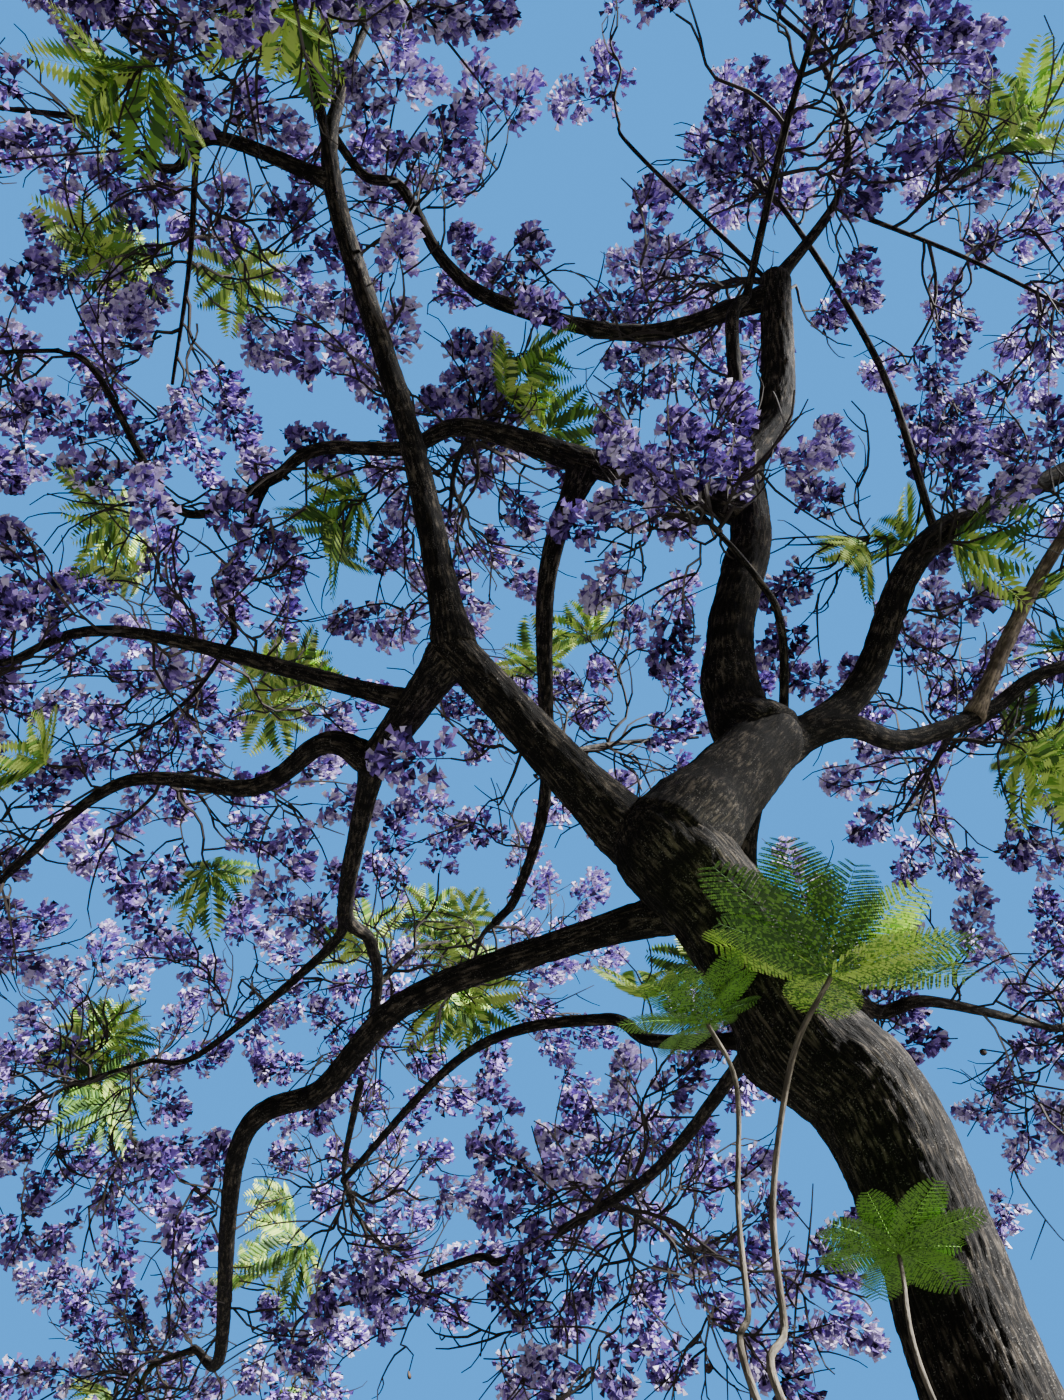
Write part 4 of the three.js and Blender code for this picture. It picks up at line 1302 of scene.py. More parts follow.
@dataclass
class Crown:
    """The crown: twigs and sprays grown from every stem by the source's rule, then finer ones.

    Side twigs leave the stem by the golden turn. Each forks once, and then carries shorter twigs
    on alternate sides. A twig or spray that would leave the mass's space, meet other wood or
    crowd another spray is tried shorter, and then skipped.
    """

    wood: Wood
    golden: float = math.pi * (3 - math.sqrt(5))
    leafy_share: float = 0.26
    fine_leafy_share: float = 0.03
    spacing: float = 0.435
    framed_spacing: float = 0.3
    panicle: float = 0.48
    inner_step: float = 0.2
    seen_least: float = 35.0
    seen_share: float = 0.56
    full_share: float = 0.62
    leafy_reach: float = 38.0
    full_reach: float = 56.0
    led_reach: float = 170.0
    led_tries: int = 80
    led_from: float = 0.6
    led_short: float = 0.15
    side_girth: tuple[float, float] = (30, 15)
    fork_girth: tuple[float, float] = (20, 12)
    last_girth: tuple[float, float] = (25, 12)
    between_girth: tuple[float, float] = (24, 12)
    limb_girth: tuple[float, float] = (22, 12)
    led_girth: tuple[float, float] = (19, 11)
    limb_bare: float = 0.3
    limb_lengths: tuple[float, float] = (0.4, 1.15)
    limb_opened: tuple[float, float] = (45, 75)
    limb_wild: float = 0.13
    lifts: Lifts = Lifts()
    stout_limb: float = 300.0
    pod_share: float = 0.025
    wide_share: float = 0.29
    closer: float = 0.75
    tried: tuple[float, ...] = (1.0, 0.72, 0.48)
    sight: Sight = Sight()
    twigs: list[Twig] = field(default_factory=list)
    blooms: list[Bloom] = field(default_factory=list)

    def grow(self) -> None:
        """Grows every mass and rod in the order of the table, the limbs' twigs and the led ones."""
        self.stems = [Stem.lay(name, order, self.wood) for order, name in enumerate(STEMS)]
        self.room = Room(self.wood, self.stems)
        for grow_round in (self.grow_source_twigs, self.grow_between, self.grow_finer):
            for stem in self.stems:
                if not stem.plan.fronds:
                    grow_round(stem)
        for order, name in enumerate(LIMBS):
            self.grow_on_limb(name, order)
        self.grow_to_spots()

    def add_twig(self, owner: str, site: Array | None, start: Array, along: Array, length: float,
                 girth: tuple[float, float], kind: Spray, turn: float) -> Twig | None:
        """Adds a twig and the spray at its end where both have room.

        Args:
            owner: The name of the stem or limb that it grows on.
            site: The middle of its mass's space, or None on a limb.
            start: Where it leaves its carrier.
            along: Its direction.
            length: Its length.
            girth: Its two girths in mm.
            kind: What it ends in.
            turn: Its own random number.

        Returns:
            The twig, or None where there is no room.
        """
        onward = lifted(along, self.lifts.spray)
        away = float(np.linalg.norm(start - np.array(self.sight.at)))
        size = self.panicle * (0.8 + 0.4 * ((turn * 7) % 1)) * min(1.2, max(0.9, away / 8))
        wide = size * self.wide_share
        for share in self.tried:
            end = start + along * length * share
            tip = end + onward * size
            middle = (end + tip) / 2
            pixel = self.sight.pixels(middle[None])[0]
            framed = self.sight.framed(pixel)
            full = self.sight.close_to(pixel, FULL_SPOTS, self.full_reach)
            shown = max(self.seen_least, self.seen_share * size * self.sight.focal_pixels / away)
            shown = shown * (self.full_share if full else 1.0)
            spacing = (self.framed_spacing if framed else self.spacing) * (self.closer if full else 1.0)
            if (self.room.free(middle, spacing)
                    and not (framed and self.sight.open_sky(pixel[None])[0])
                    and (not framed or self.room.apart(pixel, shown))
                    and self.room.inside(end, 0.02, site)
                    and self.room.inside(tip, wide * 0.6, site)
                    and self.room.clear(start, end, girth[1] * MM, owner)
                    and self.room.clear(end + onward * size * 0.3, tip, wide, "")):
                quarter = Quarter.of(start if site is None else site)
                self.twigs.append(Twig(start, end, girth, turn * 40, owner, quarter))
                self.room.middles.append(middle)
                if framed:
                    self.room.seen.append(np.array([*pixel, shown]))
                    kind = self.kind_seen(kind, pixel)
                tint = int((turn * 13) % 1 * 10)
                self.blooms.append(Bloom(kind, end, onward, size, tint, turn * 6.28, quarter))
                return self.twigs[-1]
        return None

    def kind_seen(self, kind: Spray, pixel: Array) -> Spray:
        """Puts leaves where the photograph shows them, and blossom elsewhere in its frame.

        Args:
            kind: What the rule puts there.
            pixel: The pixel of its middle.

        Returns:
            What is put there.
        """
        if self.sight.close_to(pixel, LEAFY_SPOTS, self.leafy_reach):
            return Spray.LEAFY
        return Spray.BLOSSOM if kind is Spray.LEAFY else kind

    def side_direction(self, stem: Stem, share: float, step: float, turn: float,
                       index: float) -> tuple[Array, Array, Array]:
        """Finds where a side twig leaves the stem.

        Args:
            stem: The stem.
            share: The share of the stem's length.
            step: The share of the leafy part, which sets how wide the twig opens.
            turn: Its own random number.
            index: Its number, which sets the golden turn.

        Returns:
            Its start, its direction, and the stem's tangent there.
        """
        place = stem.line.place_at(share)
        tangent = stem.line.tangent(place)
        opened = math.radians(lerp(66, 40, step))
        way, _ = branched(tangent, index * self.golden + turn * 0.7, opened)
        return stem.line.point(place), lifted(way, self.lifts.side), tangent

    def grow_source_twigs(self, stem: Stem) -> None:
        """Repeats the source's own twigs: side twigs, one fork of each, and the last twig.

        Args:
            stem: The stem of the mass.
        """
        count = stem.plan.count
        for index in range(count):
            step = (index + 0.5) / count
            share = lerp(stem.plan.bare, 0.97, step)
            turn, reach, tint, fork, side = (stem.stream.draw() for _ in range(5))
            start, along, tangent = self.side_direction(stem, share, step, turn, index)
            length = stem.spread * lerp(0.5, 0.3, step) * (0.85 + 0.3 * reach)
            kind = Spray.LEAFY if tint < self.leafy_share else Spray.BLOSSOM
            self.add_twig(stem.name, stem.site, start, along, length, self.side_girth, kind, reach)
            swing = 0.85 if side < 0.5 else -0.85
            forked = unit(lerp(turned(along, tangent, swing), tangent, 0.2))
            crotch = start + along * length * 0.3
            kind = Spray.LEAFY if fork < self.leafy_share else Spray.BLOSSOM
            self.add_twig(stem.name, stem.site, crotch, forked, length * (0.5 + 0.2 * fork),
                          self.fork_girth, kind, side)
        last = stem.line.tangent(1.0)
        self.add_twig(stem.name, stem.site, stem.line.point(1.0) - last * 0.08, last, 0.12,
                      self.last_girth, Spray.BLOSSOM, 0.37 + 0.01 * stem.order)

    def grow_between(self, stem: Stem) -> None:
        """Adds side twigs between the source's ones, from a stream of their own.

        Args:
            stem: The stem of the mass.
        """
        stream = Stream(Seed.BETWEEN_TWIGS + stem.order)
        count = stem.plan.count + 9
        for index in range(count):
            step = (index + 0.15 + 0.7 * stream.draw()) / count
            share = lerp(stem.plan.bare, 0.97, step)
            start, along, _ = self.side_direction(stem, share, step, stream.draw(), index + 0.5)
            length = stem.spread * lerp(0.52, 0.26, step) * stream.between(0.6, 1.15)
            self.add_twig(stem.name, stem.site, start, along, length, self.between_girth,
                          self.fine_kind(stream), stream.draw())

    def grow_finer(self, stem: Stem) -> None:
        """Carries the mass's twigs on to finer ones, on alternate sides, in three rounds.

        Args:
            stem: The stem of the mass.
        """
        stream = Stream(Seed.FINER_TWIGS + stem.order)
        parents = [twig for twig in self.twigs if twig.stem == stem.name]
        for girth, shares in FINER_ROUNDS:
            grown = []
            for parent in parents:
                chord = parent.end - parent.start
                reach = float(np.linalg.norm(chord))
                roll = stream.between(0, 2 * math.pi)
                for number, share in enumerate(shares):
                    angle = roll + number * 2.6 + stream.between(-0.4, 0.4)
                    along, _ = branched(chord / max(reach, 1e-9), angle, stream.between(0.6, 1.1))
                    length = max(0.18, reach * stream.between(0.3, 0.62))
                    start = twig_paths([parent], np.array([share]))[0, 0]
                    along = lifted(along, self.lifts.finer)
                    twig = self.add_twig(stem.name, stem.site, start, along, length, girth,
                                         self.fine_kind(stream), stream.draw())
                    if twig is not None:
                        grown.append(twig)
            parents = grown

    def grow_on_limb(self, name: str, order: int) -> None:
        """Adds twigs along a limb beyond its first third, by the golden turn like a stem's.

        Args:
            name: The limb.
            order: Its place in the table, which gives its seed.
        """
        line = self.wood.lines[name]
        if max(LIMBS[name].girth) > self.stout_limb:
            return
        stream = Stream(Seed.LIMB_TWIGS + order)
        first = self.limb_bare * line.length
        for index in range(int((line.length - first) / self.inner_step)):
            place = line.place_at((first + (index + stream.draw()) * self.inner_step) / line.length)
            angle = index * self.golden + stream.draw()
            opened = math.radians(stream.between(*self.limb_opened))
            along, _ = branched(line.tangent(place), angle, opened)
            twig = self.add_twig(name, None, line.point(place), lifted(along, self.lifts.limb),
                                 stream.between(*self.limb_lengths), self.limb_girth,
                                 self.fine_kind(stream), stream.draw())
            if twig is not None:
                twig.wild = self.limb_wild

    def grow_to_spots(self) -> None:
        """Leads a twig to each place in the frame where the rule alone leaves a cluster out.

        The twigs that show nearest to the place are tried in turn. The new twig leaves one of
        them and ends on the line of sight through the place, at the same depth.
        """
        stream = Stream(Seed.LED_TWIGS)
        sites = {stem.name: stem.site for stem in self.stems}
        carriers = list(self.twigs)
        starts = twig_paths(carriers, np.array([self.led_from]))[:, 0]
        pixels = self.sight.pixels(starts)
        depths = (starts - np.array(self.sight.at)) @ self.sight.axes()[2]
        for spot in LED_SPOTS:
            away = np.linalg.norm(pixels - np.array(spot), axis=1)
            turn = stream.draw()
            for index in np.argsort(away)[:self.led_tries]:
                way = self.sight.point(spot, depths[index]) - starts[index]
                reach, owner = float(np.linalg.norm(way)), carriers[index].stem
                if away[index] < self.led_reach and self.add_twig(
                        owner, sites.get(owner), starts[index], way / reach, reach - self.led_short,
                        self.led_girth, Spray.BLOSSOM, turn):
                    break

    def fine_kind(self, stream: Stream) -> Spray:
        """Draws what a fine twig ends in.

        Args:
            stream: The numbers that it draws from.

        Returns:
            Mostly blossom, now and then a rosette of leaves or a pod.
        """
        draw = stream.draw()
        if draw < self.fine_leafy_share:
            return Spray.LEAFY
        return Spray.POD if draw > 1 - self.pod_share else Spray.BLOSSOM


@dataclass(frozen=True)
class Panicle:
    """A panicle of jacaranda blossom: a stalk, spokes along it, and a tuft of trumpets on each.

    Spokes leave the stalk at golden turns and rise more steeply towards its tip. Their length
    follows sin(pi (0.14 + 0.8 h)) to the power 0.7, so the whole is a loose lumpy egg.
    """

    spokes: int = 10
    flowers: int = 19
    buds: int = 6
    wide: float = 0.285
    flower: float = 0.057
    mouth: float = 0.42
    spread: float = 0.95
    droop: float = 0.3
    stalk_heights: tuple[float, ...] = (0.0, 0.35, 0.7, 0.97)
    stalk_radii: tuple[float, ...] = (0.0042, 0.0036, 0.0026, 0.0014)
    spoke_radius: float = 0.0022
    tints: tuple[int, ...] = (0, 1, 1, 0, 1, 0, 1, 0, 1, 1)

    def trumpet(self) -> tuple[Array, Array]:
        """Makes one trumpet along +Z: a point, and a mouth of three uneven lobes.

        Returns:
            Points (4, 3) and faces (3, 3).
        """
        mouth = rim(3, self.mouth * np.array([1.0, 0.8, 0.92]), np.array([1.0, 0.84, 0.92]))
        return np.concatenate([[np.zeros(3)], mouth]), fan(0, 1, 3, backwards=True)

    def bud(self) -> tuple[Array, Array]:
        """Makes one closed bud along +Z: two points and a belly of three corners.

        Returns:
            Points (5, 3) and faces (6, 3).
        """
        faces = np.concatenate([fan(0, 1, 3, backwards=True), fan(4, 1, 3)])
        return np.concatenate([[np.zeros(3)], rim(3, 0.16, 0.6), [UP]]), faces

    def dress(self, blooms: list[Bloom], petals: Gathered, stalks: Gathered, seed: int) -> None:
        """Adds the panicles of one quarter.

        Args:
            blooms: The sprays to turn into panicles.
            petals: Where flowers and buds are gathered.
            stalks: Where stalks and spokes are gathered.
            seed: The seed of this quarter's small irregularities.
        """
        rng = np.random.default_rng(seed)
        shape = (len(blooms), self.spokes)
        roots, along = column(blooms, "root")[:, None], column(blooms, "along")[:, None]
        size = column(blooms, "length")[:, None]
        high = 0.1 + 0.84 * (np.arange(self.spokes) + rng.random(shape)) / self.spokes
        turn = (np.arange(self.spokes) * Crown.golden + rng.random((shape[0], 1)) * 6
                + 0.5 * rng.random(shape))
        rise = lerp(0.1, 1.35, high)[..., None]
        outward = round_ways(*side_ways(along[:, 0]), turn)
        spoke = unit(outward * np.cos(rise) + along * np.sin(rise))
        reach = (self.wide * np.sin(np.pi * (0.14 + 0.8 * high)) ** 0.7 * size
                 * (0.75 + 0.45 * rng.random(shape)))[..., None]
        base = roots + along * (high * size * 0.85)[..., None]
        self.add_stalks(stalks, roots, along * size[..., None], base, base + spoke * reach * 0.9)
        tints = np.array(self.tints)[column(blooms, "tint")]
        self.add_flowers(petals, base, spoke, reach, tints, rng)
        # A core of larger trumpets in the two darkest tints fills the middle of each panicle: painted
        # shade.
        ways = unit(spoke + 1.4 * (rng.random((*shape, 3)) - 0.5))
        self.place(petals, self.trumpet(), base + 0.15 * spoke * reach, ways, reach.ravel() * 0.5,
                   np.where(rng.random(shape) < 0.6, 3, 2).ravel())
        shape = (shape[0], self.buds)
        tips = roots + along * (size * lerp(0.86, 1.0, rng.random(shape)))[..., None]
        ways = unit(along + 0.9 * (rng.random((*shape, 3)) - 0.5))
        self.place(petals, self.bud(), tips, ways, np.full(tips[..., 0].size, self.flower * 0.6), 3)

    def add_flowers(self, petals: Gathered, base: Array, spoke: Array, reach: Array,
                    tints: Array, rng: np.random.Generator) -> None:
        """Adds the trumpets round every spoke, hanging a little, a tint darker near the middle as
        painted shade.

        Args:
            petals: Where they are gathered.
            base: The feet of the spokes, (panicles, spokes, 3).
            spoke: Their directions.
            reach: Their lengths, (panicles, spokes, 1).
            tints: The tint of each panicle.
            rng: The quarter's stream.
        """
        shape = (*base.shape[:2], self.flowers)
        out = 0.34 + 0.7 * (np.arange(self.flowers) + rng.random(shape)) / self.flowers
        strewn = unit(spoke[:, :, None] + self.spread * (rng.random((*shape, 3)) - 0.5))
        points = base[:, :, None] + strewn * (out * reach)[..., None]
        ways = unit(strewn + 0.8 * (rng.random((*shape, 3)) - 0.5) - UP * self.droop)
        scale = self.flower * (0.8 + 0.4 * rng.random(shape))
        draw = rng.random(shape)
        # Flowers near the middle are a tint darker: painted shade inside the panicle. The random steps
        # deal the tints out at random.
        inner = (out < 0.6).astype(int) + (draw < 0.34) - (draw > 0.72)
        shades = np.clip(tints[:, None, None] + inner + (draw < 0.14), 0, 3)
        self.place(petals, self.trumpet(), points, ways, scale.ravel(), shades.ravel())

    @staticmethod
    def place(gathered: Gathered, pattern: tuple[Array, Array], base: Array, way: Array,
              scale: Array, tints: Array) -> None:
        """Sets one pattern at many places.

        Args:
            gathered: Where it is gathered.
            pattern: Points and faces of one, along +Z.
            base: Places, (..., 3).
            way: Directions, (..., 3).
            scale: One size for each place.
            tints: One finish for each place, or one for all.
        """
        points, faces = pattern
        way, base = way.reshape(-1, 3), base.reshape(-1, 3)
        axes = np.stack([*side_ways(way), way], axis=1)
        placed = base[:, None] + np.einsum("pk,nkd->npd", points, axes) * scale[:, None, None]
        tints = np.repeat(np.broadcast_to(tints, (len(base),)), len(faces))
        gathered.add(placed, repeated(faces, len(base), len(points)), tints)

    def add_stalks(self, stalks: Gathered, roots: Array, stalk: Array, base: Array,
                   ends: Array) -> None:
        """Adds the main stalk of each panicle and the spokes that carry its flowers.

        Args:
            stalks: Where they are gathered.
            roots: The feet of the panicles, (panicles, 1, 3).
            stalk: Their directions times their lengths.
            base: The feet of the spokes, (panicles, spokes, 3).
            ends: Their ends.
        """
        paths = roots + stalk * np.array(self.stalk_heights)[:, None]
        radii = np.broadcast_to(self.stalk_radii, paths.shape[:2])
        stalks.add(*thin_tubes(paths, radii, 3), 1)
        stalks.add(*spikes(base.reshape(-1, 3), ends.reshape(-1, 3), self.spoke_radius), 1)


def spikes(starts: Array, ends: Array, radius: float) -> tuple[Array, Array]:
    """Makes many thin closed spikes.

    Args:
        starts: Their roots, (n, 3).
        ends: Their points, (n, 3).
        radius: The radius of their three-cornered roots.

    Returns:
        Points, (n, 4, 3), and faces, (n, 4, 3).
    """
    ring = round_ways(*side_ways(unit(ends - starts)), turns(3)) * radius
    points = np.concatenate([starts[:, None] + ring, ends[:, None]], axis=1)
    return points, repeated(np.array([[0, 1, 3], [1, 2, 3], [2, 0, 3], [0, 2, 1]]), len(starts), 4)


@dataclass
class Ribs:
    """Ribs of fronds or of their side leaflets, as arrays of one row each."""

    roots: Array
    along: Array
    up: Array
    length: Array
    droop: float

    def points(self, share: Array) -> Array:
        """Finds points on the ribs.

        Args:
            share: Shares of their lengths, (m,).

        Returns:
            Points, (n, m, 3): root + along s L - droop L s^2 in the vertical.
        """
        s = share[None, :, None] * self.length[:, None, None]
        return (self.roots[:, None] + self.along[:, None] * s
                - UP * self.droop * share[None, :, None] * s)

    def side_ribs(self, pairs: int, reach: float, opened: float, slim: float) -> "Ribs":
        """Sets pairs of smaller ribs along these ones.

        Args:
            pairs: How many pairs.
            reach: The longest small rib, as a share of its carrier.
            opened: The angle between a small rib and its carrier, in degrees.
            slim: How strongly the outline closes towards both ends.

        Returns:
            The small ribs. Their length follows sin(pi (0.16 + 0.8 s)) to the power slim.
        """
        share = (np.arange(pairs) + 0.9) / (pairs + 0.25)
        roots = self.points(share)
        tangent = unit(self.along[:, None] - UP * 2 * self.droop * share[None, :, None])
        side = unit(np.cross(tangent, self.up[:, None]))
        up = np.cross(side, tangent)
        length = self.length[:, None] * reach * np.sin(np.pi * (0.16 + 0.8 * share))[None] ** slim
        angle = math.radians(opened)
        ways = [unit(side * sign * math.sin(angle) + tangent * math.cos(angle)) for sign in (1, -1)]
        pairs_of = [[roots, roots], ways, [up, up], [length[..., None], length[..., None]]]
        roots, ways, up, length = (np.concatenate(both, axis=1).reshape(-1, both[0].shape[-1])
                                   for both in pairs_of)
        return Ribs(roots, ways, up, length[:, 0], 0.12)

    def blades(self, width: float, fold: float) -> tuple[Array, Array]:
        """Turns each rib into a blade of two faces, folded a little along its middle.

        Args:
            width: Its width as a share of its length.
            fold: How far its sides stand up, as a share of its width.

        Returns:
            Points, (n, 4, 3), and faces, (n, 2, 3).
        """
        side = unit(np.cross(self.along, self.up))
        half = (self.length * width / 2)[:, None]
        middle = self.roots + self.along * (self.length * 0.48)[:, None] + self.up * half * fold
        tip = self.roots + self.along * self.length[:, None] - UP * (self.length * 0.1)[:, None]
        points = np.stack([self.roots, middle - side * half, tip, middle + side * half], axis=1)
        return points, repeated(np.array([[0, 2, 1], [0, 3, 2]]), len(self.roots), 4)


@dataclass(frozen=True)
class FernLeaf:
    """A jacaranda leaf, twice feathered: a rib, pairs of side ribs, and leaflets on each.

    Up in the crown each side rib with its leaflets is one blade. Near the eye, on the suckers,
    every leaflet is its own blade.
    """

    fronds: int = 8
    length: float = 0.46
    pairs: int = 15
    reach: float = 0.32
    opened: float = 60.0
    droop: float = 0.2
    leaflet_pairs: int = 11
    palest: int = 0
    tints: tuple[int, ...] = (0, 0, 1, 0, 1)
    stations: tuple[float, ...] = (0.0, 0.3, 0.62, 1.0)
    radii: tuple[float, ...] = (0.0032, 0.0026, 0.002, 0.0008)
    side_radius: float = 0.0011

    def ribs(self, blooms: list[Bloom], seed: int) -> tuple[Ribs, Array]:
        """Spreads the fronds of each rosette round the end of its twig.

        Args:
            blooms: The rosettes.
            seed: The seed of their irregularities.

        Returns:
            The ribs of the fronds, and the tint of each.
        """
        rng = np.random.default_rng(seed)
        shape = (len(blooms), self.fronds)
        along = column(blooms, "along")
        turn = (2 * np.pi * (np.arange(self.fronds) + 0.35 * rng.random(shape)) / self.fronds
                + column(blooms, "spin")[:, None])
        outward = round_ways(*side_ways(along), turn)
        along = along[:, None]
        way = unit(outward + along * (0.35 + 0.5 * rng.random((*shape, 1))))
        up = unit(along - way * np.sum(along * way, axis=-1, keepdims=True))
        length = self.length * (0.72 + 0.4 * rng.random(shape))
        start = column(blooms, "root")[:, None] - way * 0.01
        base = np.array(self.tints)[column(blooms, "tint") % 5][:, None]
        draw = rng.random(shape)
        tints = np.clip(base + (draw < 0.4) - (draw > 0.75), self.palest, 2).ravel()
        return Ribs(start.reshape(-1, 3), way.reshape(-1, 3), up.reshape(-1, 3),
                    length.reshape(-1), self.droop), tints

    def dress(self, blooms: list[Bloom], leaves: Gathered, seed: int, fine: bool = False) -> None:
        """Adds the rosettes of one quarter.

        Args:
            blooms: The sprays to turn into rosettes.
            leaves: Where they are gathered.
            seed: The seed of their irregularities.
            fine: Whether every leaflet is its own blade.
        """
        if not blooms:
            return
        ribs, tints = self.ribs(blooms, seed)
        radii = np.broadcast_to(self.radii, (len(tints), len(self.radii)))
        points, faces = thin_tubes(ribs.points(np.array(self.stations)), radii, 3)
        leaves.add(points, faces, np.repeat(tints, faces.shape[1]))
        small = ribs.side_ribs(self.pairs, self.reach, self.opened, 0.62)
        tints = np.repeat(tints, 2 * self.pairs)
        if not fine:
            points, faces = small.blades(0.27, 0.3)
            leaves.add(points, faces, np.repeat(self.mottled(tints, seed), 2))
            return
        tips = small.points(np.array([1.0]))[:, 0]
        leaves.add(*spikes(small.roots, tips, self.side_radius), np.repeat(tints, 4))
        leaflets = small.side_ribs(self.leaflet_pairs, 0.115, 62.0, 0.35)
        points, faces = leaflets.blades(0.85, 0.1)
        tints = self.mottled(np.repeat(tints, 2 * self.leaflet_pairs), seed)
        leaves.add(points, faces, np.repeat(tints, 2))

    def mottled(self, tints: Array, seed: int) -> Array:
        """Makes some blades a tint paler or darker than their frond, dealing painted light and shade at
        random.
        """
        draw = np.random.default_rng(seed + Seed.MOTTLING).random(len(tints))
        return np.clip(tints + (draw > 0.7) - (draw < 0.4), self.palest, 2)


@dataclass(frozen=True)
class Pod:
    """A dry seed pod: a flat round case that hangs edge up from its twig."""

    size: float = 0.032
    thick: float = 0.008
    corners: int = 12

    def dress(self, blooms: list[Bloom], pods: Gathered) -> None:
        """Adds the pods: a wavy rim of corners between two swollen middles.

        Args:
            blooms: The sprays to turn into pods.
            pods: Where they are gathered.
        """
        turn = turns(self.corners)
        wave = self.size * (1 + 0.07 * np.cos(3 * turn))
        edge = np.stack([wave * np.cos(turn), 0.2 * self.thick * np.sin(2 * turn),
                         wave * np.sin(turn) - self.size], axis=1)
        pattern = np.concatenate([edge, [[0, self.thick, -self.size], [0, -self.thick, -self.size]]])
        faces = np.concatenate([fan(self.corners, 0, self.corners, backwards=True),
                                fan(self.corners + 1, 0, self.corners)])
        for bloom in blooms:
            facing = np.array(Matrix.Rotation(bloom.spin, 3, "Z"))
            pods.add(pattern @ facing.T + bloom.root, faces)


@dataclass
class Foliage:
    """Dresses the crown: twigs, blossom and leaves, each kind joined by quarter."""

    crown: Crown
    panicle: Panicle = Panicle()
    leaf: FernLeaf = FernLeaf()
    pod: Pod = Pod()
    stout: float = 22.0
    bare_shares: tuple[float, ...] = (0.2, 0.45, 0.7)
    bare_rounds: tuple[tuple[float, float, float], ...] = ((0.75, 21.0, 10.0), (0.5, 14.0, 7.0))
    stem_seat: float = 0.001
    sucker_swelling: float = 0.12
    sucker_lift: float = 0.9
    sucker_turn: float = 1.3

    def build(self) -> None:
        """Builds the pieces of every quarter, the pods and the suckers' leaves."""
        twig_finish, petal_finish, leaf_finish = (
            [tint.make() for tint in tints] for tints in (TWIG_TINTS, PETAL_TINTS, LEAF_TINTS))
        pods, pod_nodes = Gathered(), []
        for order, quarter in enumerate(Quarter):
            stems = [stem for stem in self.crown.stems
                     if not stem.plan.fronds and Quarter.of(stem.site) is quarter]
            nodes = [stem.name for stem in stems]
            blooms = {kind: [bloom for bloom in self.crown.blooms
                             if bloom.kind is kind and bloom.quarter is quarter] for kind in Spray}
            petals, twigs, leaves = Gathered(), Gathered(), Gathered()
            self.panicle.dress(blooms[Spray.BLOSSOM], petals, twigs, Seed.PANICLES + order)
            self.leaf.dress(blooms[Spray.LEAFY], leaves, Seed.LEAVES + order)
            self.pod.dress(blooms[Spray.POD], pods)
            pod_nodes += nodes
            some = [twig for twig in self.crown.twigs if twig.quarter is quarter]
            self.add_twigs(twigs, some)
            self.add_bare_twigs(twigs, some, Seed.BARE_TWIGS + order)
            LOG.info("%s: %d panicles, %d rosettes, %d pods", quarter.value,
                     *(len(blooms[kind]) for kind in Spray))
            self.build_stems(stems, quarter)
            for kind, gathered, finish, slot in (("blossom", petals, petal_finish, "blossom"),
                                                 ("twigs", twigs, twig_finish, "bark"),
                                                 ("leaves", leaves, leaf_finish, "leaf")):
                seated(mesh_object(f"{kind}_{quarter.value}", gathered, finish), nodes)
        pod_piece = mesh_object("seed_pods", pods, [POD_FINISH.make()], smooth=True)
        seated(pod_piece, sorted(pod_nodes))
        self.build_suckers(leaf_finish)

    def add_twigs(self, gathered: Gathered, twigs: list[Twig]) -> None:
        """Adds twigs as bent tapering tubes, the stout ones finer cut.

        Args:
            gathered: Where they are gathered.
            twigs: The twigs.
        """
        for stout, sides, stations in ((True, 5, 10), (False, 3, 8)):
            some = [twig for twig in twigs if (twig.girth[0] > self.stout) is stout]
            if some:
                shares = np.linspace(0, 1, stations)
                girths = column(some, "girth") * MM / 2
                radii = lerp(girths[:, :1], girths[:, 1:], shares[None])
                gathered.add(*thin_tubes(twig_paths(some, shares), radii, sides), 0)

    def add_bare_twigs(self, gathered: Gathered, twigs: list[Twig], seed: int) -> None:
        """Adds bare twigs: some leave every twig sideways, and one leaves each of these again.

        Each is a bow with a swing: root + way s L + bow L (0.22 sin(pi s) + 0.03 sin(3 pi s)).
        One whose tip would show in open sky or leave the solids' box is left out.

        Args:
            gathered: Where they are gathered.
            twigs: The twigs that carry them.
            seed: The seed of their places and turns.
        """
        rng = np.random.default_rng(seed)
        roots = twig_paths(twigs, np.array(self.bare_shares))
        chords = column(twigs, "end") - column(twigs, "start")
        way = np.broadcast_to(unit(chords)[:, None], roots.shape)
        share = np.linspace(0, 1, 6)[:, None]
        swing = 0.22 * np.sin(np.pi * share) + 0.03 * np.sin(3 * np.pi * share)
        low, high = np.array(CAD_BOX)
        for longest, thick, thin in self.bare_rounds:
            roots, way = roots.reshape(-1, 3), way.reshape(-1, 3)
            angle = rng.random((len(roots), 1)) * 2 * np.pi
            way, outward = branched(way, angle, lerp(0.45, 1.05, rng.random((len(roots), 1))))
            way = unit(way + UP * 0.12)
            length = longest * lerp(0.4, 1.0, rng.random((len(roots), 1)))
            bow = np.cross(way, outward) * length
            paths = roots[:, None] + (way * length)[:, None] * share + bow[:, None] * swing
            tips = paths[:, -1]
            kept = np.all((tips > low) & (tips < high), axis=1)
            paths = paths[kept & ~self.crown.sight.open_sky(self.crown.sight.pixels(tips))]
            radii = np.broadcast_to(lerp(thick, thin, share[:, 0]) / 2 * MM, paths.shape[:2])
            gathered.add(*thin_tubes(paths, radii, 3), 0)
            roots, way = paths[:, 3], unit(paths[:, 4] - paths[:, 3])

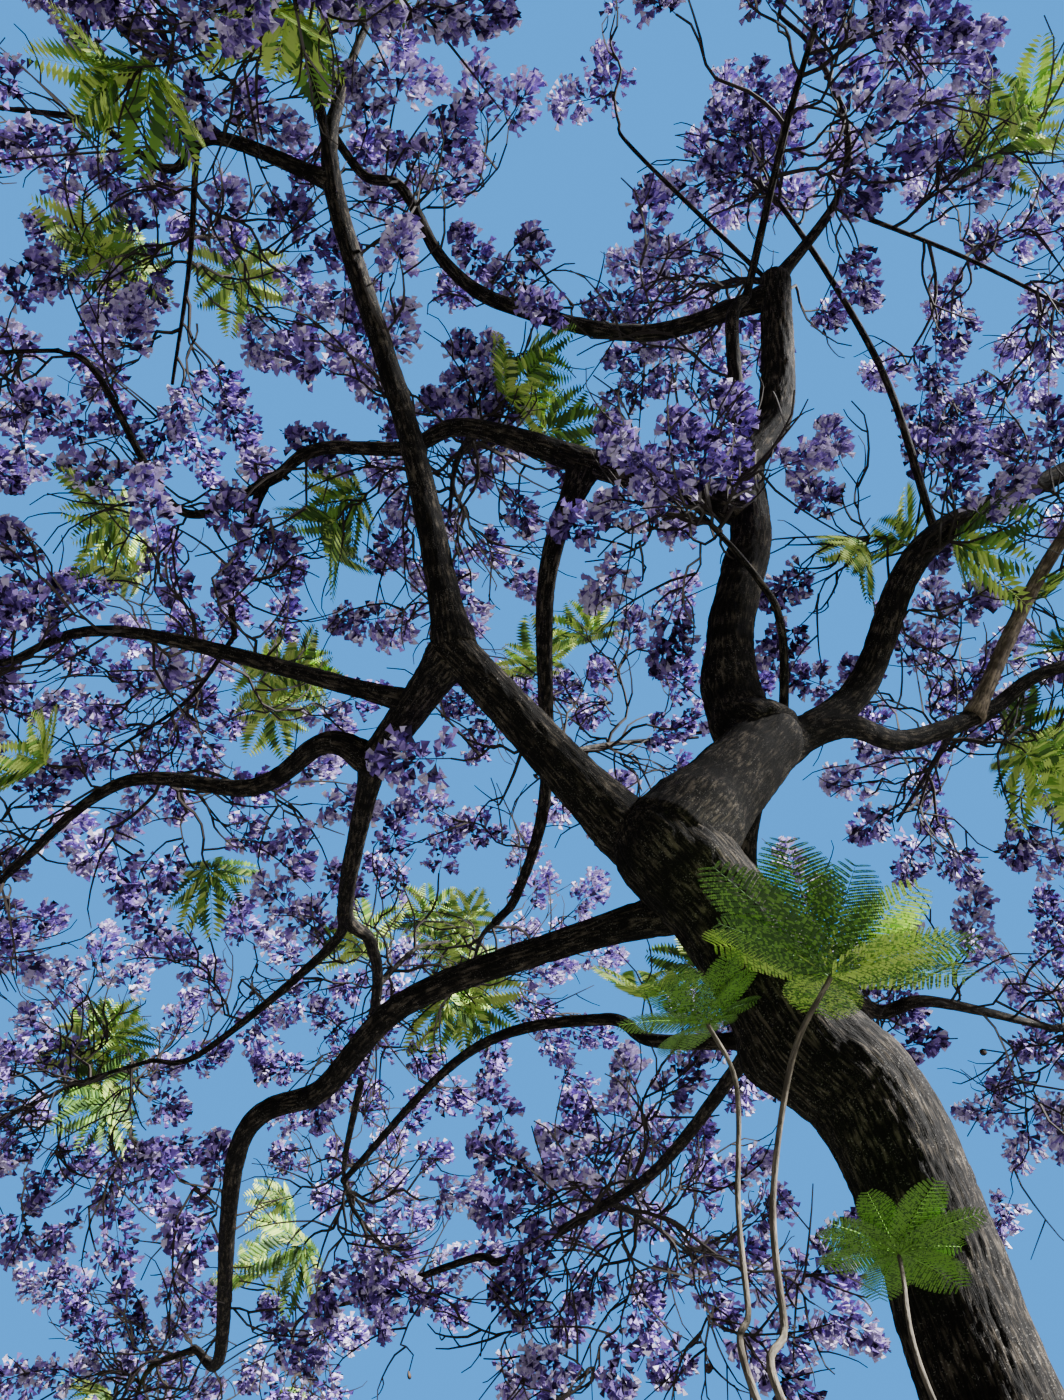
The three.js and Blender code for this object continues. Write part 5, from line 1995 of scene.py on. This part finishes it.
    def build_stems(self, stems: list[Stem], quarter: Quarter) -> None:
        """Builds the barked stems of one quarter's masses as one piece.

        Args:
            stems: The stems.
            quarter: The quarter.
        """
        gathered, heights, spots = Gathered(), [], []
        for stem in stems:
            points, faces, height, spot = self.barked(stem, Seed.STEM_BARK).patch()
            gathered.add(points, faces)
            heights.append(height)
            spots.append(spot)
        attributes = {"bark_height": np.concatenate(heights), "bark_place": np.concatenate(spots)}
        piece = mesh_object(f"stems_{quarter.value}", gathered, [bpy.data.materials[BARK.name]],
                            attributes, smooth=True)
        seated(piece, [stem.name for stem in stems])

    def barked(self, stem: Stem, seed: int, swelling: float = BarkedLimb.swelling) -> BarkedLimb:
        """Lays bark round a stem.

        Args:
            stem: The stem.
            seed: The seed that the stem's own place is added to.
            swelling: How strongly it swells.

        Returns:
            The barked limb.
        """
        plan = LimbPlan(stem.plan.on, 0, stem.girth, stem.plan.legs)
        return BarkedLimb(stem.name, plan, stem.line, self.stem_seat, seed + stem.order,
                          swelling=swelling)

    def build_suckers(self, leaf_finish: list[bpy.types.Material]) -> None:
        """Builds the suckers' barked stems and their rosettes of full leaves.

        Args:
            leaf_finish: The tints of their leaves.
        """
        bark, leaves = SHOOT_BARK.make(), Gathered()
        suckers = [stem for stem in self.crown.stems if stem.plan.fronds]
        for stem in suckers:
            limb = self.barked(stem, Seed.SUCKER_BARK, self.sucker_swelling)
            seated(limb.build(bark), [stem.name])
            along = lifted(stem.line.tangent(1.0), self.sucker_lift)
            bloom = Bloom(Spray.LEAFY, stem.line.point(1.0), along, stem.plan.frond, 4,
                          self.sucker_turn * stem.order, Quarter.of(stem.site))
            leaf = FernLeaf(fronds=stem.plan.fronds + 4, length=stem.plan.frond, pairs=17,
                            reach=0.28, leaflet_pairs=18, palest=int(stem.plan.fronds < 8))
            leaf.dress([bloom], leaves, Seed.SUCKER_LEAVES + stem.order, fine=True)
        piece = mesh_object("sucker_leaves", leaves, leaf_finish)
        seated(piece, [stem.name for stem in suckers])


@dataclass(frozen=True)
class Studio:
    """The pale floor, the soft light and the camera under the crown."""

    sight: Sight = Sight()
    sky: tuple[float, float, float] = (0.065, 0.44, 1.20)
    shine: tuple[float, float, float] = (0.80, 0.88, 1.0)
    floor: tuple[float, float, float] = (0.12, 0.118, 0.112)
    key_from: tuple[float, float, float] = (0.87, -0.12, 0.45)
    key_energy: float = 21.0
    key_angle: float = 6.0
    soft_strength: float = 0.09
    floor_radius: float = 60.0
    floor_corners: int = 96
    floor_gap: float = 0.002
    sensor: float = 36.0

    def build(self) -> None:
        """Builds the floor, the sky, the lamp and the camera."""
        self.lay_floor()
        self.light()
        self.set_camera()

    def lay_floor(self) -> None:
        """Lays a plain pale disc under the tree."""
        edge = rim(self.floor_corners, self.floor_radius, -self.floor_gap)
        gathered = Gathered()
        gathered.add(np.concatenate([edge, [[0, 0, -self.floor_gap]]]),
                     fan(self.floor_corners, 0, self.floor_corners))
        mesh_object("floor", gathered, [SprayFinish("pale floor", self.floor, 0.9).make()])

    def light(self) -> None:
        """Sets a plain sky and one soft key from the right."""
        world = bpy.data.worlds.new("soft sky")
        bpy.context.scene.world = world
        tree = NodeTree(world)
        seen = tree.nodes["Background"]
        tree.fill(seen, {"Color": (*self.sky, 1)})
        soft = tree.add("Background", "Background",
                        {"Color": (*self.shine, 1), "Strength": self.soft_strength})
        straight = tree.add("LightPath", "Is Camera Ray", {})
        mixed = tree.add("MixShader", "Shader", {0: straight, 1: soft, 2: seen.outputs[0]})
        tree.fill(tree.nodes["World Output"], {"Surface": mixed})
        lamp = bpy.data.lights.new("key", "SUN")
        lamp.energy, lamp.angle = self.key_energy, math.radians(self.key_angle)
        thing = bpy.data.objects.new("key", lamp)
        thing.rotation_mode = "QUATERNION"
        thing.rotation_quaternion = Vector(self.key_from).to_track_quat("Z", "Y")
        bpy.context.scene.collection.objects.link(thing)

    def set_camera(self) -> None:
        """Aims the camera up into the crown at the photograph's angle, tilted to the left."""
        right, above, onward = self.sight.axes()
        data = bpy.data.cameras.new("camera")
        data.sensor_width = self.sensor
        data.lens = self.sight.focal_pixels / self.sight.size[1] * self.sensor
        data.clip_end = 500
        camera = bpy.data.objects.new("camera", data)
        bpy.context.scene.collection.objects.link(camera)
        columns = np.stack([right, above, -onward], axis=1)
        camera.matrix_world = Matrix.Translation(self.sight.at) @ Matrix(columns.tolist()).to_4x4()
        bpy.context.scene.camera = camera


def main() -> None:
    """Builds the tree and its studio in order and notes the sizes."""
    logging.basicConfig(level=logging.INFO, format="%(name)s %(message)s")
    Studio().build()
    wood = Wood()
    dark, pale = BARK.make(), PALE_BARK.make()
    for order, (name, plan) in enumerate(LIMBS.items()):
        limb = BarkedLimb(name, plan, wood.lines[name], wood.seats[name],
                          Seed.LIMB_BARK + order, knots=KNOTS.get(name, ()))
        slot, finish = ("pale_bark", pale) if name == "right_pale_arm" else ("bark", dark)
        seated(limb.build(finish), [name])
    crown = Crown(wood)
    crown.grow()
    Foliage(crown).build()


if __name__ == "__main__":
    main()
